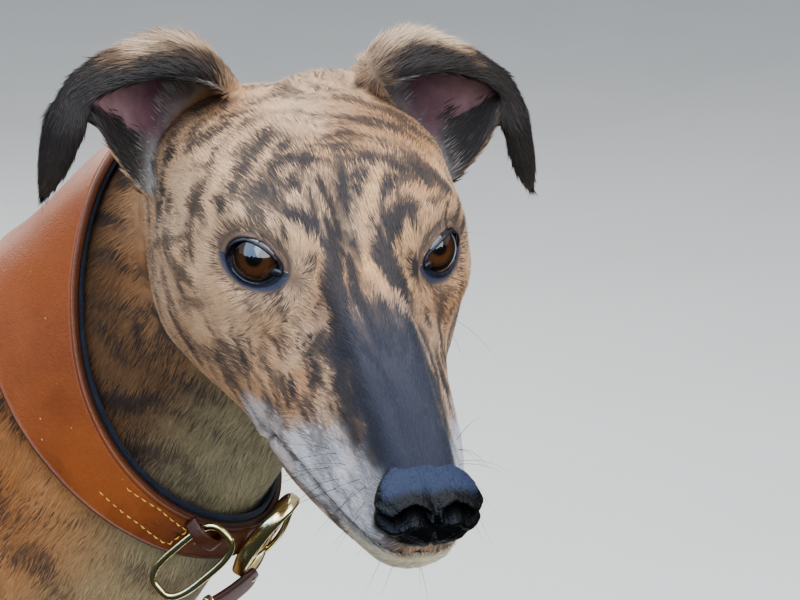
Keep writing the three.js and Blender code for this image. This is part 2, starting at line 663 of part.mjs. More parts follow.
// The ring stands across the strap; its inner bar runs through the tab.
const [ringBreadth, ringHeight, ringBar] = RING_SIZE;
const ringFrame = onStrap(RING_ANGLE, strapFace, 2 * GAP + ringHeight / 2);
ringFrame.multiply(new THREE.Matrix4().makeTranslation(0, -RING_SAG, 0));
ringFrame.multiply(new THREE.Matrix4().makeRotationY(Math.PI / 2));
ringFrame.multiply(new THREE.Matrix4().makeRotationZ(Math.PI / 2));
const ring = (grow) => bandSolid(ringBreadth, ringHeight, ringBar, ringBar, 8, grow, ringFrame);
place("collar_ring", ring(0).subtract(clearOfStrap), materials.brass);

const [tabLength, tabBreadth, tabLeather] = TAB_SIZE;
const tabHeight = 3 * GAP + ringBar + tabLeather;
const tab = new THREE.BoxGeometry(tabLength, tabBreadth, 2 * tabHeight);
const tabShape = solid(tab, onStrap(RING_ANGLE, strapFace, 0)).subtract(clearOfStrap);
place("collar_ring_tab", tabShape.subtract(ring(GAP)), materials.leather);

const [buckleBreadth, buckleLength, buckleBar, buckleThickness] = BUCKLE_SIZE;
const buckleFrame = onStrap(BUCKLE_ANGLE, strapFace, GAP + buckleThickness / 2 + 1);
const buckle = bandSolid(buckleLength, buckleBreadth, buckleBar, buckleThickness, 9, 0, buckleFrame);
place("collar_buckle", buckle.subtract(clearOfStrap), materials.brass);

const [tailLength, tailBreadth, tailLeather] = TAIL_STRAP;
const tailLift = buckleThickness + tailLeather / 2 + 5;
const tailStrap = new THREE.BoxGeometry(tailLength, tailBreadth, tailLeather);
const tailFrame = onStrap(TAIL_STRAP_ANGLE, strapFace, tailLift);
const tailShape = solid(tailStrap, tailFrame).subtract(ring(GAP)).subtract(buckle).subtract(tabShape);
place("collar_strap_end", largest(tailShape), materials.leather);

const box = new THREE.Box3().setFromObject(group);
group.position.set(-(box.min.x + box.max.x) / 2, -(box.min.y + box.max.y) / 2, -box.min.z);

export default group;
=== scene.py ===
"""The looks of a life-size standing greyhound with a brindle coat and a broad leather collar.

Lengths are worked out in millimetres in the part's own axes (+Z up, the nose towards -Y, the animal's left at +X)
and moved into the frame, in metres, when a mesh is made.
"""

import logging
import math
from collections.abc import Callable
from dataclasses import dataclass, field, fields
from enum import Enum

import bpy
import numpy as np
from mathutils import Matrix, Vector
from mathutils.bvhtree import BVHTree


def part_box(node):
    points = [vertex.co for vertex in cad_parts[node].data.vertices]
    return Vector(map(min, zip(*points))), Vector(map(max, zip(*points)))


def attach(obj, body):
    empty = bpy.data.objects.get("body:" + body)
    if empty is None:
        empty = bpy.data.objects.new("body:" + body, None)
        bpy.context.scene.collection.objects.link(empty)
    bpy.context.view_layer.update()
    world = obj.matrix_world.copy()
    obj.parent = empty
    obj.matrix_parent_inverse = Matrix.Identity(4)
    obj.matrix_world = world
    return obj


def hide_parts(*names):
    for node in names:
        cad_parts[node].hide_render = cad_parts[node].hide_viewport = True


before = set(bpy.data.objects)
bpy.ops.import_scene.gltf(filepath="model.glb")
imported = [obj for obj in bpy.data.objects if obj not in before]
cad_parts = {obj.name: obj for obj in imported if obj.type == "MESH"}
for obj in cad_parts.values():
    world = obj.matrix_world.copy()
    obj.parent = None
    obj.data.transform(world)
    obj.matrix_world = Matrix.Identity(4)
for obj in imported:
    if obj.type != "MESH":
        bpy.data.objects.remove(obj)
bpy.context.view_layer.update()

log = logging.getLogger("greyhound")
Array = np.ndarray
Triple = tuple[float, float, float]
Material = bpy.types.Material
Socket = bpy.types.NodeSocket
METRE = 0.001
SEED = 7

# Sizes shared with the solids
EYES_AT = np.array([-61.0, -517.0, 810.0])
HEAD_TURN, HEAD_PITCH, HEAD_ROLL = 44.6, 14.4, 2.8
EYE_RADIUS = 11.7
EYE_CENTRE = np.array([0.3, 31.6, 0.3])
LIDS_TURN = 37.0
EAR_THICKNESS = 3.6
RIGHT_EAR_SPREAD = 4.5
COLLAR_AT = np.array([0.0, -370.0, 716.0])
COLLAR_TILT = 27.0
COLLAR_HEAD_EDGE = (28.5, -17.0, 0.0034)
COLLAR_BODY_EDGE = (-20.0, 76.0, 0.0015)
STRAP_INSIDE, STRAP_OUTSIDE = 2.4, 5.6
LINING_INSIDE, LINING_OUTSIDE = 0.5, 2.1

# Trunk stations: along, middle height, half-width, rise, drop, keel
TRUNK = np.array([
    [-350, 508, 14, 16, 16, 0], [-332, 520, 46, 56, 48, 0], [-300, 536, 72, 108, 92, 0.05],
    [-258, 545, 86, 156, 134, 0.12], [-210, 546, 94, 177, 155, 0.18], [-150, 542, 99, 178, 160, 0.2],
    [-80, 544, 102, 172, 160, 0.2], [-10, 556, 99, 166, 152, 0.16], [50, 578, 88, 151, 136, 0.1],
    [105, 604, 74, 133, 116, 0.05], [155, 630, 64, 109, 98, 0], [205, 640, 65, 96, 97, 0],
    [255, 640, 76, 87, 102, 0], [305, 630, 82, 78, 98, 0], [350, 612, 74, 66, 84, 0],
    [385, 592, 54, 52, 60, 0], [406, 580, 24, 24, 26, 0],
])

# Neck stations: x, y, z, half-width, nape, throat
NECK = np.array([
    [0, -215, 575, 84, 98, 112], [0, -272, 620, 75, 99, 108], [0, -328, 668, 63, 93, 95],
    [0, -386, 727, 53, 76, 77], [-1, -428, 778, 48, 65, 68], [-5, -462, 818, 44, 44, 60],
    [-14, -486, 848, 34, 24, 34],
])

# Head stations: ahead, top, then half-width and height of crown, brow, cheek and jowl, then the underside
HEAD = np.array([
    [-126, -2, 10, -4, 20, -12, 24, -26, 18, -42, -48], [-118, 9, 18, 5, 36, -7, 41, -28, 33, -54, -64],
    [-102, 20.5, 25, 17, 48, 2, 53, -28, 42, -64, -75], [-78, 29, 29, 25.5, 55, 8, 59, -26, 46.5, -68, -80],
    [-54, 30, 29, 28.5, 54, 14, 59.5, -20, 49, -66, -80], [-34, 28, 28, 27.5, 51.5, 16, 58.5, -13, 48.5, -62, -77],
    [-16, 24, 24, 24.5, 48, 14.5, 56, -12, 46, -61, -74], [0, 17.5, 19.5, 18.5, 41, 11.5, 50, -17, 41.5, -60, -71],
    [16, 9.5, 15, 11, 24.5, 3.5, 40, -25, 36.5, -60, -69], [34, 2, 12, 2, 20, -6, 35, -29, 33.5, -60, -68],
    [56, -4.5, 10, -5, 18, -13, 29.5, -31, 30.5, -60, -67.5],
    [80, -10.5, 9.5, -11, 15.5, -18, 23.5, -32, 24.5, -59, -67],
    [100, -16, 9, -17, 14.5, -23.5, 19, -36, 17.5, -58, -67], [111, -21.5, 8, -22.5, 12, -28, 16, -39, 14, -56, -63],
    [118, -29, 6, -30, 9, -34, 11, -42, 9, -51, -55],
])

# Nose pad stations: ahead, middle height, half-width, rise, drop
NOSE = np.array([
    [104, -26, 11, 5.5, 9], [109, -28, 15.8, 7.5, 12], [114, -29.5, 18.3, 8, 13.5], [119, -31, 18, 7.8, 13.2],
    [124, -32.5, 14, 6.2, 10], [126.5, -33, 7, 3.5, 5.5],
])

# The mouth's line from the front to behind the lip's corner: ahead, above
MOUTH = np.array([[118, -50.5], [96, -50.5], [66, -47.5], [44, -50], [33, -60]])

# Ear stations from root to tip: the rim next to the skull, the back and the outer rim, each ahead, aside, above
EAR = np.array([
    [-76, 24, 28, -97, 30, 10, -66, 50, -14], [-69, 35, 37, -101, 43, 27, -60, 62, -8],
    [-68, 47, 41, -102, 55, 34, -59, 69, 0], [-70, 60, 40, -99, 67, 34, -59, 75, 9],
    [-70, 72, 36, -92, 79, 34, -62, 80, 18], [-67, 80, 29, -81, 89, 31, -70, 86, 20],
    [-62, 82, 17, -68, 93, 22, -78, 92, 18], [-61, 85, 6, -62, 95, 10, -74, 96, 10],
    [-61, 89, -3, -59, 97, -1, -68, 98, 0], [-60, 95, -10, -59, 98, -10, -62, 99, -9],
], float)

# Leg stations on the left side: x, y, z, half-width, reach forwards, reach backwards
FORELEG = np.array([
    [40, -196, 692, 12, 26, 26], [58, -214, 650, 22, 44, 46], [69, -246, 600, 26, 50, 58],
    [69, -280, 548, 26, 44, 66], [75, -262, 486, 25, 46, 62], [79, -230, 424, 21, 32, 44],
    [79, -216, 388, 19, 25, 32], [78.5, -220, 345, 18, 23, 24], [78, -224, 290, 15.5, 18, 18.5],
    [77, -225, 230, 13, 14.5, 14.5], [76, -226, 190, 14, 14.5, 14],
    [76, -226, 168, 15.5, 16, 16], [76, -226, 140, 14, 12.5, 14], [76, -230, 95, 15, 12.5, 14],
    [76, -240, 58, 20, 15, 20], [76, -256, 26, 22, 12, 20],
])
HINDLEG = np.array([
    [46, 296, 680, 16, 34, 34], [54, 300, 645, 30, 60, 62], [62, 300, 590, 37, 78, 88],
    [67, 290, 520, 37, 76, 84], [74, 270, 455, 31, 56, 78], [78, 268, 410, 25, 40, 64],
    [79.5, 296, 360, 20.5, 31, 46], [79, 340, 303, 17.5, 21, 30], [78, 388, 246, 13, 16, 21],
    [77.5, 418, 205, 14.5, 17, 22], [77, 427, 178, 14.5, 16, 17],
    [77, 427, 145, 12.5, 13, 13.5], [77, 424, 95, 13, 12.5, 13], [77, 416, 58, 18, 14, 18], [77, 400, 26, 21, 12, 18],
])

# Tail stations: x, y, z, radius
TAIL = np.array([
    [0, 372, 628, 18], [0, 402, 612, 18], [1, 430, 572, 15], [4, 446, 510, 12], [8, 454, 440, 10],
    [12, 460, 370, 8.5], [15, 474, 305, 7], [17, 500, 248, 6], [18, 534, 208, 4.8], [18, 560, 192, 3],
])

# The tail's stations with its radius as all three reaches
TAIL_RUN = np.concatenate([TAIL, TAIL[:, 3:4], TAIL[:, 3:4]], 1)

# Each toe's offset aside and how far its tip reaches
TOES = ((-17.5, 40.0), (-6.5, 50.0), (6.5, 50.0), (17.5, 41.0))
FORE_HEEL = np.array([76.0, -246.0, 0.0])
HIND_HEEL = np.array([77.0, 404.0, 0.0])


class Side(Enum):
    """The animal's own left or right, as the sign of its aside axis."""

    LEFT = 1
    RIGHT = -1

    @property
    def word(self) -> str:
        """The side's name in a piece's name."""
        return self.name.lower()

    @property
    def mirror(self) -> Array:
        """What turns a leg's stations on the left into this side's."""
        return np.array([self.value, 1, 1, 1, 1, 1])


def unit(vectors: Array) -> Array:
    """Vectors along the last axis at length one."""
    return vectors / np.maximum(np.linalg.norm(vectors, axis=-1, keepdims=True), 1e-9)


def ease(low: float, high: float, value: Array) -> Array:
    """A smooth step from 0 at low to 1 at high: 3t^2 - 2t^3 of the clamped share t."""
    t = np.clip((value - low) / (high - low), 0.0, 1.0)
    return t * t * (3.0 - 2.0 * t)


def toward(base: Array, goal: Array, share: Array) -> Array:
    """Rows moved from base towards goal, each by its own share."""
    return base + (goal - base) * share[:, None]


def turns(count: int) -> Array:
    """That many angles evenly round a circle."""
    return np.linspace(0.0, 2.0 * np.pi, count, endpoint=False)


def lattice(cells: Array, seed: int) -> Array:
    """One settled number between 0 and 1 for each whole-number cell, from mixed products of its indices.

    Args:
        cells: whole cell indices, (..., 3).
        seed: which set of numbers.

    Returns:
        Values between 0 and 1.
    """
    c = cells.astype(np.int64)
    mixed = (c[..., 0] * 374761393 + c[..., 1] * 668265263 + c[..., 2] * 1274126177 + seed * 362437) & 0xFFFFFFFF
    mixed = ((mixed ^ (mixed >> 13)) * 1103515245 + 12345) & 0xFFFFFFFF
    mixed = ((mixed ^ (mixed >> 16)) * 69069 + 1) & 0xFFFFFFFF
    return (mixed ^ (mixed >> 11)) / 4294967296.0


def mottle(points: Array, seed: int = 0, octaves: int = 2) -> Array:
    """Smooth value noise: each octave blends the eight lattice values round a point with eased weights.

    Args:
        points: places in cell units, (n, 3).
        seed: which pattern.
        octaves: how many layers, each twice as fine and half as strong.

    Returns:
        Values of about -1 to 1, (n,).
    """
    total = np.zeros(len(points))
    reach, strength, rate = 0.0, 1.0, 1.0
    for octave in range(octaves):
        place = points * rate + 31.7 * octave
        cell = np.floor(place)
        t = place - cell
        t = t * t * (3.0 - 2.0 * t)
        value = np.zeros(len(points))
        for corner in np.ndindex(2, 2, 2):
            step = np.array(corner)
            weight = np.prod(np.where(step, t, 1.0 - t), axis=1)
            value += weight * lattice(cell + step, seed + octave)
        total += strength * (2.0 * value - 1.0)
        reach += strength
        strength *= 0.5
        rate *= 2.0
    return 1.5 * total / reach


def cubic(t: Array, start: Array, end: Array, leave: Array, arrive: Array) -> Array:
    """A cubic from start to end at the share t, with a slope where it leaves and one where it arrives."""
    bend = 2.0 * start - 2.0 * end + leave + arrive
    sweep = -3.0 * start + 3.0 * end - 2.0 * leave - arrive
    return ((bend * t + sweep) * t + leave) * t + start


def rows_at(table: Array, places: Array) -> Array:
    """Smooth rows between a table's rows: a uniform Catmull-Rom cubic in each column.

    Args:
        table: the stations, one row each.
        places: 0 at the first row and 1 at the last, (n,).

    Returns:
        One row for each place.
    """
    scaled = np.clip(places, 0.0, 1.0) * (len(table) - 1)
    i = np.minimum(scaled.astype(int), len(table) - 2)
    t = (scaled - i)[:, None]
    a, b = table[i], table[i + 1]
    before, after = table[np.maximum(i - 1, 0)], table[np.minimum(i + 2, len(table) - 1)]
    return cubic(t, a, b, (b - before) / 2.0, (after - a) / 2.0)


def path_distance(points: Array, path: Array) -> Array:
    """The distance from each point to the nearest of a path's straight stretches.

    Args:
        points: places, (n, 2) or (n, 3).
        path: the path's corners, in the same axes.

    Returns:
        Distances, (n,).
    """
    best = np.full(len(points), 1e9)
    for a, b in zip(path[:-1], path[1:]):
        run = b - a
        share = np.clip(((points - a) @ run) / max(float(run @ run), 1e-9), 0.0, 1.0)
        best = np.minimum(best, np.linalg.norm(points - a - share[:, None] * run, axis=1))
    return best


@dataclass
class HeadFrame:
    """The head's own axes: ahead along the muzzle, aside to its left, and above, from between the eyes."""

    at: Array = field(default_factory=lambda: EYES_AT.copy())
    turn: float = HEAD_TURN
    pitch: float = HEAD_PITCH
    roll: float = HEAD_ROLL

    def axes(self) -> Array:
        """The three axes as rows in the part's axes.

        Returns:
            A (3, 3) array.
        """
        turn, pitch, roll = np.radians([-self.turn, self.pitch, self.roll])
        about_z = np.array([[np.cos(turn), -np.sin(turn), 0], [np.sin(turn), np.cos(turn), 0], [0, 0, 1]])
        about_x = np.array([[1, 0, 0], [0, np.cos(pitch), -np.sin(pitch)], [0, np.sin(pitch), np.cos(pitch)]])
        about_y = np.array([[np.cos(roll), 0, np.sin(roll)], [0, 1, 0], [-np.sin(roll), 0, np.cos(roll)]])
        return (about_z @ about_x @ about_y @ np.array([[0, 1, 0], [-1, 0, 0], [0, 0, 1]])).T

    def out(self, points: Array) -> Array:
        """Head places as places in the part."""
        return points @ self.axes() + self.at

    def into(self, points: Array) -> Array:
        """Places in the part as head places."""
        return (points - self.at) @ self.axes().T


HEAD_FRAME = HeadFrame()


def frame_offset() -> Array:
    """How far the part's own axes lie from the frame's, in millimetres, from where the right eye was put."""
    low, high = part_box("eye_right")
    middle = (np.array(low) + np.array(high)) / (2.0 * METRE)
    return middle - HEAD_FRAME.out(EYE_CENTRE * np.array([1.0, -1.0, 1.0]))


OFFSET = frame_offset()


@dataclass
class Surface:
    """A triangle mesh in the part's millimetres."""

    points: Array
    faces: Array

    def turned_out(self) -> "Surface":
        """The same surface with its faces pointing outwards, by the sign of its volume.

        Returns:
            The surface itself, or one with every face turned round.
        """
        a, b, c = (self.points[self.faces[:, k]] for k in range(3))
        if np.einsum("ij,ij->i", a, np.cross(b, c)).sum() < 0:
            return Surface(self.points, self.faces[:, ::-1].copy())
        return self

    def normals(self) -> Array:
        """A unit normal at each point: the sum of its faces' cross products.

        Returns:
            Unit vectors, one row for each point.
        """
        a, b, c = (self.points[self.faces[:, k]] for k in range(3))
        across = np.cross(b - a, c - a)
        total = np.zeros_like(self.points)
        for k in range(3):
            for axis in range(3):
                total[:, axis] += np.bincount(self.faces[:, k], across[:, axis], len(self.points))
        return unit(total)

    def edges(self) -> tuple[Array, Array]:
        """Both ends of every edge, each edge once."""
        pairs = np.sort(np.concatenate([self.faces[:, [0, 1]], self.faces[:, [1, 2]], self.faces[:, [2, 0]]]), axis=1)
        keys = np.unique(pairs[:, 0].astype(np.int64) * len(self.points) + pairs[:, 1])
        return keys // len(self.points), keys % len(self.points)

    def neighbours(self) -> Callable[[Array], Array]:
        """A function that gives the mean of a value, one row for each point, over each point's neighbours.

        Returns:
            The function, which takes one number for each point.
        """
        one, other = self.edges()
        count = len(self.points)
        degree = np.maximum(np.bincount(one, minlength=count) + np.bincount(other, minlength=count), 1)

        def mean(values: Array) -> Array:
            """The neighbours' mean of one value a point."""
            return (np.bincount(one, values[other], count) + np.bincount(other, values[one], count)) / degree

        return mean

    def smoothed(self, rounds: int, weight: Array | float = 1.0, keep: float = 0.0) -> "Surface":
        """Each round moves a point towards its neighbours' mean by half the weight.

        Args:
            rounds: how many times.
            weight: how far each point follows, 0 to 1.
            keep: share of each round's move that a second step takes back, against shrinking.

        Returns:
            The smoothed surface.
        """
        mean = self.neighbours()
        pull = (np.broadcast_to(weight, (len(self.points),)) * 0.5)[:, None]
        points = self.points.copy()
        for _ in range(rounds):
            for push in (1.0, -keep) if keep else (1.0,):
                points += push * pull * (np.stack([mean(column) for column in points.T], axis=1) - points)
        return Surface(points, self.faces)

    def spread(self, values: Array, rounds: int) -> Array:
        """A value per point, evened out over its neighbours for some rounds.

        Args:
            values: one number for each point.
            rounds: how many times.

        Returns:
            The evened numbers.
        """
        mean = self.neighbours()
        for _ in range(rounds):
            values = 0.5 * values + 0.5 * mean(values)
        return values


def joined(surfaces: list[Surface]) -> Surface:
    """Several surfaces as one mesh.

    Args:
        surfaces: what goes together.

    Returns:
        One surface, with the points in the same order.
    """
    points, faces, first = [], [], 0
    for surface in surfaces:
        points.append(surface.points)
        faces.append(surface.faces + first)
        first += len(surface.points)
    return Surface(np.concatenate(points), np.concatenate(faces))


def grid_faces(rings: int, sides: int, around: bool = True) -> Array:
    """Two triangles for each cell between neighbouring rings and sides.

    Args:
        rings: how many rings.
        sides: how many points each has.
        around: whether the last side joins the first.

    Returns:
        Faces as indices of the rings' points, (n, 3).
    """
    cells = sides if around else sides - 1
    i, k = np.meshgrid(np.arange(rings - 1), np.arange(cells), indexing="ij")
    a = i * sides + k
    b = i * sides + (k + 1) % sides
    return np.stack([np.stack([a, b, a + sides], -1), np.stack([b, b + sides, a + sides], -1)], 2).reshape(-1, 3)


def closed_loft(rings: Array) -> Surface:
    """A closed surface through rings, (rings, sides, 3), with a fan from the mean point over each end.

    Args:
        rings: the rings' points.

    Returns:
        The surface, facing outwards.
    """
    count, sides = rings.shape[:2]
    points = np.concatenate([rings.reshape(-1, 3), rings[0].mean(0)[None], rings[-1].mean(0)[None]])
    k = np.arange(sides)
    first = np.stack([np.full(sides, count * sides), (k + 1) % sides, k], 1)
    last_ring = (count - 1) * sides
    last = np.stack([np.full(sides, count * sides + 1), last_ring + k, last_ring + (k + 1) % sides], 1)
    return Surface(points, np.concatenate([grid_faces(count, sides), first, last])).turned_out()


def swept(path: Array, outline: Array, outwards: Array, closed: bool = False) -> Surface:
    """A profile carried along a path: its first number goes across the run, its second outwards.

    Args:
        path: the middle line, (n, 3).
        outline: the profile's points, (m, 2) or (n, m, 2).
        outwards: the outward direction at each point of the path, (n, 3).
        closed: whether the path's end joins its start.

    Returns:
        A closed surface.
    """
    ahead = np.roll(path, -1, 0) - np.roll(path, 1, 0)
    if not closed:
        ahead[0], ahead[-1] = path[1] - path[0], path[-1] - path[-2]
    across = unit(np.cross(unit(ahead), outwards))
    rise = unit(np.cross(across, unit(ahead)))
    profile = np.broadcast_to(outline, (len(path), *outline.shape[-2:]))
    rings = path[:, None] + across[:, None] * profile[..., :1] + rise[:, None] * profile[..., 1:]
    if not closed:
        return closed_loft(rings)
    sides = rings.shape[1]
    looped = np.concatenate([rings, rings[:1]])
    faces = grid_faces(len(path) + 1, sides) % (len(path) * sides)
    return Surface(looped[:-1].reshape(-1, 3), faces).turned_out()


def circle(count: int, wide: float = 1.0, high: float = 1.0, power: float = 1.0) -> Array:
    """Points round an oval: cosine across and sine up, each to a power that squares its corners."""
    angle = turns(count)
    c, s = np.cos(angle), np.sin(angle)
    return np.stack([wide * np.sign(c) * np.abs(c) ** power, high * np.sign(s) * np.abs(s) ** power], 1)


def globe(rings: int, sides: int) -> Array:
    """A unit ball as rings, (rings, sides, 3), with its axis along the first number."""
    angle, turn = np.linspace(0.05, np.pi - 0.05, rings)[:, None], turns(sides)[None]
    return np.stack([np.cos(angle) + 0.0 * turn, np.sin(angle) * np.cos(turn), np.sin(angle) * np.sin(turn)], -1)


def limb_points(table: Array, places: Array, angles: Array, grow: Array | float) -> Array:
    """Points on a bent part: its middle + side wide cos(a) + ahead reach sin(a), each reach plus grow.

    Args:
        table: the stations: x, y, z, then reach aside, ahead of the path and behind it.
        places: 0 at the first station and 1 at the last.
        angles: round the part.
        grow: added to every reach; all three are arrays that go together, of any one shape.

    Returns:
        Points, (..., 3).
    """
    shape = np.broadcast(places, angles, grow).shape
    place, angle, more = (np.broadcast_to(values, shape).ravel() for values in (places, angles, grow))
    rows = rows_at(table, place)
    centres, ahead, side = limb_frames(table, place)
    sine = np.sin(angle)
    reach = np.where(sine > 0, rows[:, 4], rows[:, 5]) + more
    wide = (rows[:, 3] + more) * np.cos(angle)
    return (centres + side * wide[:, None] + ahead * (reach * sine)[:, None]).reshape(*shape, 3)


def limb_frames(table: Array, places: Array) -> tuple[Array, Array, Array]:
    """The middle of a bent part and its two axes across: ahead = tangent x X, side = ahead x tangent.

    Args:
        table: the stations.
        places: 0 at the first station and 1 at the last, (n,).

    Returns:
        Middles, directions ahead and directions aside, (n, 3) each.
    """
    centres = rows_at(table, places)[:, :3]
    step = 0.5 / (len(table) - 1)
    tangent = unit(rows_at(table, places + step)[:, :3] - rows_at(table, places - step)[:, :3])
    ahead = unit(np.cross(tangent, [1.0, 0.0, 0.0]))
    return centres, ahead, unit(np.cross(ahead, tangent))


def trunk_surface(places: Array, angles: Array, grow: float) -> Array:
    """Upright rings of the trunk; the lower half narrows by keel times the square of its depth.

    Args:
        places: 0 at the breast and 1 at the buttocks.
        angles: round the trunk.
        grow: added to every reach.

    Returns:
        Points, (places, angles, 3).
    """
    along, middle, wide, over, under, keel = rows_at(TRUNK, places).T[:, :, None]
    sine = np.sin(angles)[None]
    x = (wide + grow) * np.cos(angles)[None] * (1.0 - keel * np.maximum(0.0, -sine) ** 2)
    z = middle + np.where(sine > 0, over + grow, under + grow) * sine
    return np.stack([x, np.broadcast_to(along, x.shape), z], -1)


def head_surface(places: Array, shares: Array, grow: float) -> Array:
    """Rings of the head, each a closed centripetal Catmull-Rom curve through its ten named points.

    Args:
        places: 0 at the poll and 1 at the lips.
        shares: round the ring, 0 to 1 from the crown over the left cheek.
        grow: added to widths and to the top and the underside.

    Returns:
        Points in the head's axes, (places, shares, 3).
    """
    rows = rows_at(HEAD, places)
    wide, high = rows[:, 2::2][:, :4] + grow, rows[:, 3::2][:, :4]
    zero = np.zeros((len(rows), 1))
    aside = np.concatenate([zero, wide, zero, -wide[:, ::-1]], 1)
    above = np.concatenate([rows[:, 1:2] + grow, high, rows[:, -1:] - grow, high[:, ::-1]], 1)
    knots = np.stack([np.broadcast_to(rows[:, :1], aside.shape), aside, above], -1)
    scaled = (shares % 1.0) * 10.0
    i = np.floor(scaled).astype(int) % 10
    t = (scaled - np.floor(scaled))[None, :, None]
    p0, p1, p2, p3 = (knots[:, (i + k) % 10] for k in (-1, 0, 1, 2))
    d0, d1, d2 = (np.maximum(np.sqrt(np.linalg.norm(q - p, axis=-1, keepdims=True)), 1e-4)
                  for p, q in ((p0, p1), (p1, p2), (p2, p3)))
    leave = ((p1 - p0) / d0 - (p2 - p0) / (d0 + d1) + (p2 - p1) / d1) * d1
    arrive = ((p2 - p1) / d1 - (p3 - p1) / (d1 + d2) + (p3 - p2) / d2) * d1
    return cubic(t, p1, p2, leave, arrive)


@dataclass
class Ear:
    """One ear: half-oval sections through the rim next to the skull, the back and the outer rim."""

    side: Side

    def rows(self, places: Array) -> Array:
        """The section's nine numbers at each place, with this ear's own spread towards its tip.

        Args:
            places: 0 at the root and 1 at the tip.

        Returns:
            Rows of the rim, the back and the outer rim.
        """
        rows = rows_at(EAR, places).copy()
        if self.side is Side.RIGHT:
            spread = RIGHT_EAR_SPREAD * ease(3.0, 7.0, places * (len(EAR) - 1))
            for column in (1, 2, 4, 5, 7, 8):
                rows[:, column] += spread
        return rows

    def sheet(self, places: Array, shares: Array, inset: float) -> Array:
        """One face of the ear in the head's axes: middle + half sin(a) + depth cos(a), drawn in by inset.

        Args:
            places: 0 at the root and 1 at the tip.
            shares: -1 at the outer rim, 1 at the rim next to the skull.
            inset: how far the face lies inside the section's own curve.

        Returns:
            Points, (places, shares, 3).
        """
        rim, back, outer = np.split(self.rows(places), 3, axis=1)
        middle = 0.5 * (rim + outer)
        angle = (np.asarray(shares) * np.pi / 2)[None, :, None]
        arm = (rim - middle)[:, None] * np.sin(angle) + (back - middle)[:, None] * np.cos(angle)
        reach = np.linalg.norm(arm, axis=-1, keepdims=True)
        kept = np.maximum(reach - inset, 0.4 * reach)
        points = middle[:, None] + arm * kept / reach
        return points * np.array([1.0, float(self.side.value), 1.0])

    def leather(self, outer_inset: float, inner_inset: float, rings: int = 90, across: int = 30) -> Surface:
        """The closed ear between an outer and an inner face, each drawn in from the solid's outer one.

        Args:
            outer_inset: how far the outside is drawn in.
            inner_inset: how far the inside is.
            rings: how many sections.
            across: how many points over each face.

        Returns:
            The closed ear.
        """
        places, shares = np.linspace(0.0, 1.0, rings), np.linspace(-1.0, 1.0, across)
        outside = self.sheet(places, shares, outer_inset)
        inside = self.sheet(places, shares[::-1], inner_inset)
        return closed_loft(HEAD_FRAME.out(np.concatenate([outside, inside], 1)))


def nearest(points: Array, targets: Array, chunk: int = 20000) -> tuple[Array, Array]:
    """The index of the nearest target to each point and its distance, from |p|^2 - 2 p.c + |c|^2.

    Args:
        points: places, (n, 3).
        targets: places to choose from, (m, 3).
        chunk: how many points are worked out at a time.

    Returns:
        Indices of the targets, and distances.
    """
    index, distance = np.empty(len(points), int), np.empty(len(points))
    squares = (targets ** 2).sum(1)
    for start in range(0, len(points), chunk):
        p = points[start:start + chunk]
        table = squares[None] - 2.0 * p @ targets.T
        best = table.argmin(1)
        index[start:start + chunk] = best
        distance[start:start + chunk] = np.sqrt(np.maximum(table[np.arange(len(p)), best] + (p ** 2).sum(1), 0.0))
    return index, distance


@dataclass
class Region:
    """One run of the body with its middle line, its axes across and its reaches, for finding a point's place."""

    name: str
    centres: Array
    side: Array
    ahead: Array
    reaches: Array
    tile: tuple[float, float, float, float]

    def __post_init__(self) -> None:
        """Works out the run's directions and its length up to each centre."""
        self.tangent = unit(np.gradient(self.centres, axis=0))
        steps = np.linalg.norm(np.diff(self.centres, axis=0), axis=1)
        self.run = np.concatenate([[0.0], np.cumsum(steps)])

    def locate(self, points: Array) -> tuple[Array, Array, Array, Array]:
        """Where points lie on this run.

        Args:
            points: places in the part, (n, 3).

        Returns:
            Length along, angle round, share of the reach, and the index of the nearest centre.
        """
        index, _ = nearest(points, self.centres)
        arm = points - self.centres[index]
        x = np.einsum("ij,ij->i", arm, self.side[index])
        y = np.einsum("ij,ij->i", arm, self.ahead[index])
        z = np.einsum("ij,ij->i", arm, self.tangent[index])
        wide, over, under = self.reaches[index].T
        tall = np.where(y > 0, over, under)
        end = (index == 0) | (index == len(self.centres) - 1)
        share = np.sqrt((x / wide) ** 2 + (y / tall) ** 2 + np.where(end, (z / wide) ** 2, 0.0))
        return self.run[index] + z, np.arctan2(y / tall, x / wide), share, index


